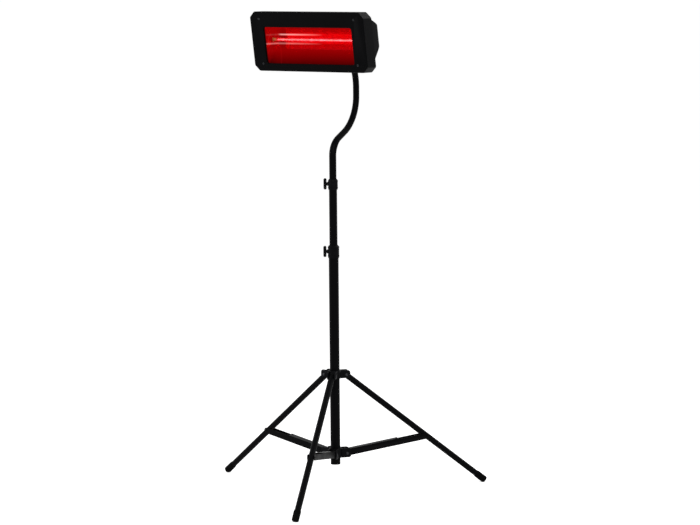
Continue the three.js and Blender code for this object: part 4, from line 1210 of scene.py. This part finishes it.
def makeGland(size):
    # threaded body, hexagon and dome nut, with the mouth for the supply lead
    end = gap + size["length"]
    body = turnPiece("cableGland", [
        [size["thread"], -size["inside"]], [size["thread"], gap + past],
        [size["dome"], gap + past], [size["dome"], end - size["domeRound"]],
        [size["dome"] - size["domeTaper"], end - size["lip"]], [size["mouth"], end]])
    carve(body, addRod("hexagon", size["nut"], gap, gap + size["nutLength"], sides=6), "UNION")
    carve(body, addRod("bore", size["bore"], -size["inside"] - past, end + past, sides=40))
    ease(body, size["edge"], 3)
    body.data.transform(Matrix.Translation((glandOffset, housing["depth"], backMiddle))
                        @ Matrix.Rotation(-math.pi / 2, 4, "X"))
    return body


fitHead(makeGland(gland), nylon, "black_plastic", "cable_gland")

# bracket, bolt and hand knob behind the head
boltOnHead = Vector((0, boltBehindFace, backMiddle))


def makeBracket(size):
    seat = housing["depth"] + gap
    top = seat + size["thickness"]
    body = corneredBlock("tiltBracket", size["width"] / 2, size["height"] / 2, seat, top,
                         size["corner"], 6, backMiddle)
    rootHalf = size["height"] / 2 - size["earInset"]
    for side in (-1, 1):
        near, far = sorted((side * size["earInside"],
                            side * (size["earInside"] + size["thickness"])))
        ear = addBlock("ear", (near, seat + past, backMiddle - rootHalf),
                       (far, boltBehindFace, backMiddle + rootHalf))
        # narrowed to the round tip
        pick(ear, "VERT", lambda co: co.y > boltBehindFace - 1)
        bpy.ops.transform.resize(value=(1, 1, size["earRadius"] / rootHalf),
                                 center_override=boltOnHead)
        letGo()
        carve(ear, addRod("tip", size["earRadius"], near, far, "X", boltOnHead, 64), "UNION")
        carve(body, ear, "UNION")
        carve(body, screwHoleAt(side * size["screwOffset"], backMiddle, seat - past, top + past))
    carve(body, addRod("boltHole", size["boltHole"], -size["holeReach"], size["holeReach"], "X",
                       boltOnHead, 40))
    ease(body, size["edge"], 3)
    return body


fitHead(makeBracket(bracket), enamel, "black_enamel", "tilt_bracket")
for i, side in ((1, -1), (2, 1)):
    seat = housing["depth"] + gap + bracket["thickness"] + gap
    fitScrew(f"bracketScrew{i}", f"bracket_screw_{i}",
             (side * bracket["screwOffset"], seat, backMiddle), -90, 52 * i)
bpy.data.objects.remove(screwPattern)

bolt = {"radius": 4.0, "headRadius": 7.5, "headLength": 5.0, "overrun": 14.0, "start": -13.6,
        "turnedFrom": 4.2, "turnedWide": 1.02, "turnedNarrow": 0.84, "edge": 0.35}
tiltKnob = {"radius": 15.0, "start": 13.6, "length": 16.0}


def makeBolt(size):
    start, radius = size["start"], size["headRadius"]
    end = -start - gap + size["overrun"]
    body = addRod("tiltBolt", size["radius"], start - past, end, "X", sides=40)
    head = addRod("hexagon", radius, start - size["headLength"], start, "X", sides=6)
    # the hexagon's corners are turned down on its outer face
    cone = turnPiece("cone", [[radius * 2, 0], [radius * 2, size["turnedFrom"] - 0.2],
                              [radius * size["turnedWide"], size["turnedFrom"]],
                              [radius * size["turnedNarrow"], size["headLength"]]])
    cone.data.transform(Matrix.Translation((start, 0, 0))
                        @ Matrix.Rotation(-math.pi / 2, 4, "Y"))
    carve(head, cone, "INTERSECT")
    carve(body, head, "UNION")
    ease(body, size["edge"])
    return body


atBolt = inHead @ Matrix.Translation(boltOnHead / 1000)
fitHead(makeBolt(bolt), zinc, "zinc_bolt", "tilt_bolt", place=atBolt)
knob = makeKnob("tiltKnob", tiltKnob["radius"], tiltKnob["start"], tiltKnob["length"],
                bolt["radius"], tiltKnob["start"], -bolt["start"] + bolt["overrun"])
fitHead(knob, nylon, "black_plastic", "tilt_knob", "tilt_knob", atBolt)
print("head shell made")


# reflector and lamp
reflector = {"sheet": 1.0, "rim": 3.0, "focus": 27.0, "middle": 3.4, "flange": 8.0,
             "vertex": 78.0, "endFlange": 12.0, "endTaper": 53.0, "endHole": 8.0,
             "holeReach": 250.0, "resolution": 40, "edge": 0.25}
lamp = {"radius": 5.5, "wall": 1.0, "endInset": 13.5, "depth": 50.0, "height": -2.5,
        "neck": 4.3, "neckLength": 5.0, "shoulder": 2.0, "shoulderDrop": 0.35, "throat": 1.4,
        "throatRise": 0.3}
troughMouth = bezel["sheet"] + gap
troughFront = bezel["lipDepth"] + gap
troughHalfLength = apertureHalfWidth - reflector["rim"]
troughHalfHeight = 2 * math.sqrt(reflector["focus"] * (reflector["vertex"] - troughMouth))
troughHigh = reflector["middle"] + troughHalfHeight
troughLow = reflector["middle"] - troughHalfHeight
lampHalfLength = troughHalfLength - lamp["endInset"]
inLamp = Matrix.Translation((0, lamp["depth"], lamp["height"])) @ Matrix.Rotation(
    math.pi / 2, 4, "Y")


def makeReflector(size):
    # the sheet's section is a parabola between two flanges, drawn as one curve
    line, _, points = startCurve("troughSheet", "BEZIER", 4, resolution_u=size["resolution"])
    for point, z in zip(points, (troughHigh + size["flange"], troughHigh, troughLow,
                                 troughLow - size["flange"])):
        point.co = point.handle_left = point.handle_right = (0, troughMouth, z)
        point.handle_left_type = point.handle_right_type = "FREE"
    # the parabola's tangents meet as far behind its vertex as the mouth is in front
    nose = Vector((0, troughMouth + 2 * (size["vertex"] - troughMouth), size["middle"]))
    upper, lower = points[1], points[2]
    upper.handle_right = upper.co.lerp(nose, 2 / 3)
    lower.handle_left = lower.co.lerp(nose, 2 / 3)
    sheet = curveToMesh("troughSheet", line)
    editAll(sheet)
    bpy.ops.transform.translate(value=(-troughHalfLength, 0, 0))
    bpy.ops.mesh.extrude_edges_move(
        TRANSFORM_OT_translate={"value": (2 * troughHalfLength, 0, 0)})
    letGo()
    # its faces look forwards, and the sheet's thickness lies behind them
    pick(sheet, "FACE", lambda middle, normal: normal.y > 0)
    bpy.ops.mesh.flip_normals()
    letGo()
    modify(sheet, "SOLIDIFY", thickness=size["sheet"], offset=-1, use_even_offset=True)
    shade(sheet, 25)
    return sheet


def makeEndReflector(name, side):
    # a flat mirror, narrower towards the back, with a tab folded outwards along its front
    size = reflector
    face = troughHalfLength + gap
    near, far = sorted((side * face, side * (face + size["sheet"])))
    plate = addBlock(name, (near, troughFront, troughLow), (far, size["vertex"], troughHigh))
    for up, front, back in ((1, troughHigh, troughHigh - size["endTaper"]),
                            (-1, troughLow, troughLow + size["endTaper"])):
        cutOff(plate, (0, troughFront, front),
               (0, abs(front - back), up * (size["vertex"] - troughFront)), clear_outer=True)
    near, far = sorted((side * face, side * (face + size["endFlange"])))
    carve(plate, addBlock("tab", (near, troughFront, troughLow),
                          (far, troughFront + size["sheet"], troughHigh)), "UNION")
    carve(plate, addRod("hole", size["endHole"], -size["holeReach"], size["holeReach"], "X",
                        (0, lamp["depth"], lamp["height"])))
    ease(plate, size["edge"])
    return plate


fitHead(makeReflector(reflector), mirror, "reflector_sheet", "reflector")
for word, hand, side in hands:
    fitHead(makeEndReflector(f"endReflector{word}", side), mirror, "reflector_sheet",
            f"end_reflector_{hand}")


def makeLampTube(size):
    # a quartz tube, drawn in a little where it is sealed into its ceramic ends
    radius, wall, end = size["radius"], size["wall"], lampHalfLength
    shoulderAt = end - size["neckLength"]
    half = [[radius, shoulderAt], [radius - size["shoulderDrop"], shoulderAt + size["shoulder"]],
            [size["neck"] + size["throatRise"], end - size["throat"]], [size["neck"], end]]
    outer = [[r, -z] for r, z in reversed(half)] + half
    inner = [[r - wall, z] for r, z in reversed(outer)]
    tube = turnPiece("lampTube", outer + inner + [outer[0]], 48)
    shade(tube, 50)
    tube.data.transform(inLamp)
    return tube


fitHead(makeLampTube(lamp), quartz, "ruby_quartz", "lamp_tube")

coil = {"radius": 1.0, "wire": 0.2, "pitch": 1.5, "pointsPerTurn": 14, "stub": 6.0,
        "ring": 3.9, "ringWire": 0.2, "ringPitch": 43.0, "ringPoints": 28}


def wireAlong(name, route, radius, closed=False):
    line, spline, points = startCurve(name, "POLY", len(route), bevel_depth=radius,
                                      bevel_resolution=1, use_fill_caps=True)
    for point, place in zip(points, route):
        point.co = (*place, 1)
    spline.use_cyclic_u = closed
    wire = curveToMesh(name, line)
    faceOut(wire)
    return wire


def makeCoil(size):
    # the coil hangs between two straight stubs, with a ring every so often to hold it central
    half = lampHalfLength - size["stub"]
    turns = round(2 * half / size["pitch"])
    count = turns * size["pointsPerTurn"]
    route = [Vector((0, 0, -lampHalfLength))]
    for i in range(count + 1):
        turn = 2 * math.pi * turns * i / count
        route.append(Vector((size["radius"] * math.cos(turn), size["radius"] * math.sin(turn),
                             -half + 2 * half * i / count)))
    route.append(Vector((0, 0, lampHalfLength)))
    pieces = [wireAlong("lampCoil", route, size["wire"])]
    ringCount = round(2 * half / size["ringPitch"])
    around = [2 * math.pi * k / size["ringPoints"] for k in range(size["ringPoints"])]
    for i in range(ringCount):
        height = -half + (i + 0.5) * 2 * half / ringCount
        circle = [Vector((size["ring"] * math.cos(turn), size["ring"] * math.sin(turn), height))
                  for turn in around]
        pieces.append(wireAlong("ring", circle, size["ringWire"], True))
    made = gather("lampCoil", pieces)
    shade(made, 60)
    made.data.transform(inLamp)
    return made


fitHead(makeCoil(coil), tungsten, "hot_filament", "filament")

lampEnd = {"radius": 5.0, "length": 24.0, "rim": 0.8, "rimDrop": 0.6, "shoulder": 1.2,
           "shoulderDrop": 1.0, "groove": 0.7, "grooveFrom": 6.0, "grooveWidth": 3.0,
           "pin": 1.6, "pinLength": 6.0, "pinPoint": 0.5, "edge": 0.2}


def makeLampEnd(name, side):
    # a ceramic barrel with a groove round it and a contact pin
    size = lampEnd
    radius, pin, point = size["radius"], size["pin"], size["pinPoint"]
    start = lampHalfLength + gap
    end = start + size["length"]
    pinEnd = end + size["pinLength"]
    grooveStart = start + size["grooveFrom"]
    grooveEnd = grooveStart + size["grooveWidth"]
    deep, waist = size["groove"], radius - size["groove"]
    barrel = turnPiece(name, [
        [radius - size["rimDrop"], start], [radius, start + size["rim"]], [radius, grooveStart],
        [waist, grooveStart + deep], [waist, grooveEnd - deep], [radius, grooveEnd],
        [radius, end - size["shoulder"]], [radius - size["shoulderDrop"], end], [pin, end],
        [pin, pinEnd - point], [pin - point, pinEnd]], 48)
    ease(barrel, size["edge"])
    barrel.data.transform(inLamp if side > 0 else Matrix.Diagonal((-1, 1, 1, 1)) @ inLamp)
    faceOut(barrel)
    return barrel


for word, hand, side in hands:
    fitHead(makeLampEnd(f"lampEnd{word}", side), ceramic, "ceramic", f"lamp_end_{hand}")


# plain pieces out of sight keep their solids, with softened edges
softEdge = {"width": 0.4, "segments": 2, "limit": 35.0, "weld": 0.01}


def softenSolid(node, material, size):
    solid = frame["nodes"][node]
    weld = solid.modifiers.new("weld", "WELD")
    weld.merge_threshold = size["weld"] / 1000
    edge = solid.modifiers.new("edge", "BEVEL")
    edge.width = size["width"] / 1000
    edge.segments = size["segments"]
    edge.limit_method = "ANGLE"
    edge.angle_limit = math.radians(size["limit"])
    solid.data.materials.clear()
    solid.data.materials.append(material)


for nodes, material, slot in (
        (("middle_bush", "upper_bush"), nylon, "black_plastic"),
        (("terminal_block", "lamp_holder_left", "lamp_holder_right"), ceramic, "ceramic"),
        (("strut_rivet_1", "strut_rivet_2", "strut_rivet_3"), darkSteel, "fastener_steel")):
    for node in nodes:
        softenSolid(node, material, softEdge)
print("lamp and reflector made")


# studio: a white floor and world, soft lights
studio = {"floorRadius": 120.0, "paper": 0.8, "white": 1.0, "fill": 0.55, "floorLit": 0.57}
softboxes = {  # place, aim, size and power
    "keySoftbox": ((2.6, -2.6, 3.2), (0.1, 0, 1.0), (1.8, 1.8), 90),
    "leftSoftbox": ((-3.0, -1.8, 2.2), (0.1, 0, 1.0), (1.2, 2.2), 40),
    "backSoftbox": ((0.8, 3.2, 2.8), (0.1, 0, 1.2), (2.2, 1.4), 50),
}
white = (1, 1, 1, 1)


def seenDirectly(tree):
    # 1 where the camera looks at it, straight or by way of a mirror or glass
    path = addNode(tree, "ShaderNodeLightPath").outputs
    either = path["Is Camera Ray"]
    for other in ("Is Glossy Ray", "Is Transmission Ray"):
        either = sums(tree, "MAXIMUM", either, path[other])
    return either


def makeFloor(size):
    letGo()
    bpy.ops.mesh.primitive_circle_add(vertices=96, radius=size["floorRadius"], fill_type="NGON")
    floor = asNew("studioFloor")
    made = bpy.data.materials.new("whiteSweep")
    made.use_nodes = True
    tree = made.node_tree
    tree.nodes.clear()
    # the paper is lit to white; what the object shades shows as a faint soft shadow
    paper = addNode(tree, "ShaderNodeBsdfDiffuse", {"Color": (*[size["paper"]] * 3, 1)})
    glow = addNode(tree, "ShaderNodeEmission", {"Color": white, "Strength": size["floorLit"]})
    both = addNode(tree, "ShaderNodeAddShader", None, {0: paper.outputs[0], 1: glow.outputs[0]})
    lit = addNode(tree, "ShaderNodeMixShader", None, {
        0: seenDirectly(tree), 1: paper.outputs[0], 2: both.outputs[0]})
    addNode(tree, "ShaderNodeOutputMaterial", None, {"Surface": lit.outputs[0]})
    floor.data.materials.append(made)


def makeWorld(size):
    world = bpy.data.worlds.new("whiteWorld")
    world.use_nodes = True
    tree = world.node_tree
    tree.nodes.clear()
    strength = between(tree, seenDirectly(tree), size["fill"], size["white"], 0.0, 1.0)
    background = addNode(tree, "ShaderNodeBackground", {"Color": white}, {"Strength": strength})
    addNode(tree, "ShaderNodeOutputWorld", None, {"Surface": background.outputs[0]})
    bpy.context.scene.world = world


def makeLight(name, place, aim, size, power):
    data = bpy.data.lights.new(name, "AREA")
    data.shape = "RECTANGLE"
    data.size, data.size_y = size
    data.energy = power
    light = putIn(name, data)
    light.location = place
    light.rotation_euler = (Vector(aim) - Vector(place)).to_track_quat("-Z", "Y").to_euler()


makeFloor(studio)
makeWorld(studio)
for name, box in softboxes.items():
    makeLight(name, *box)
print("studio set")
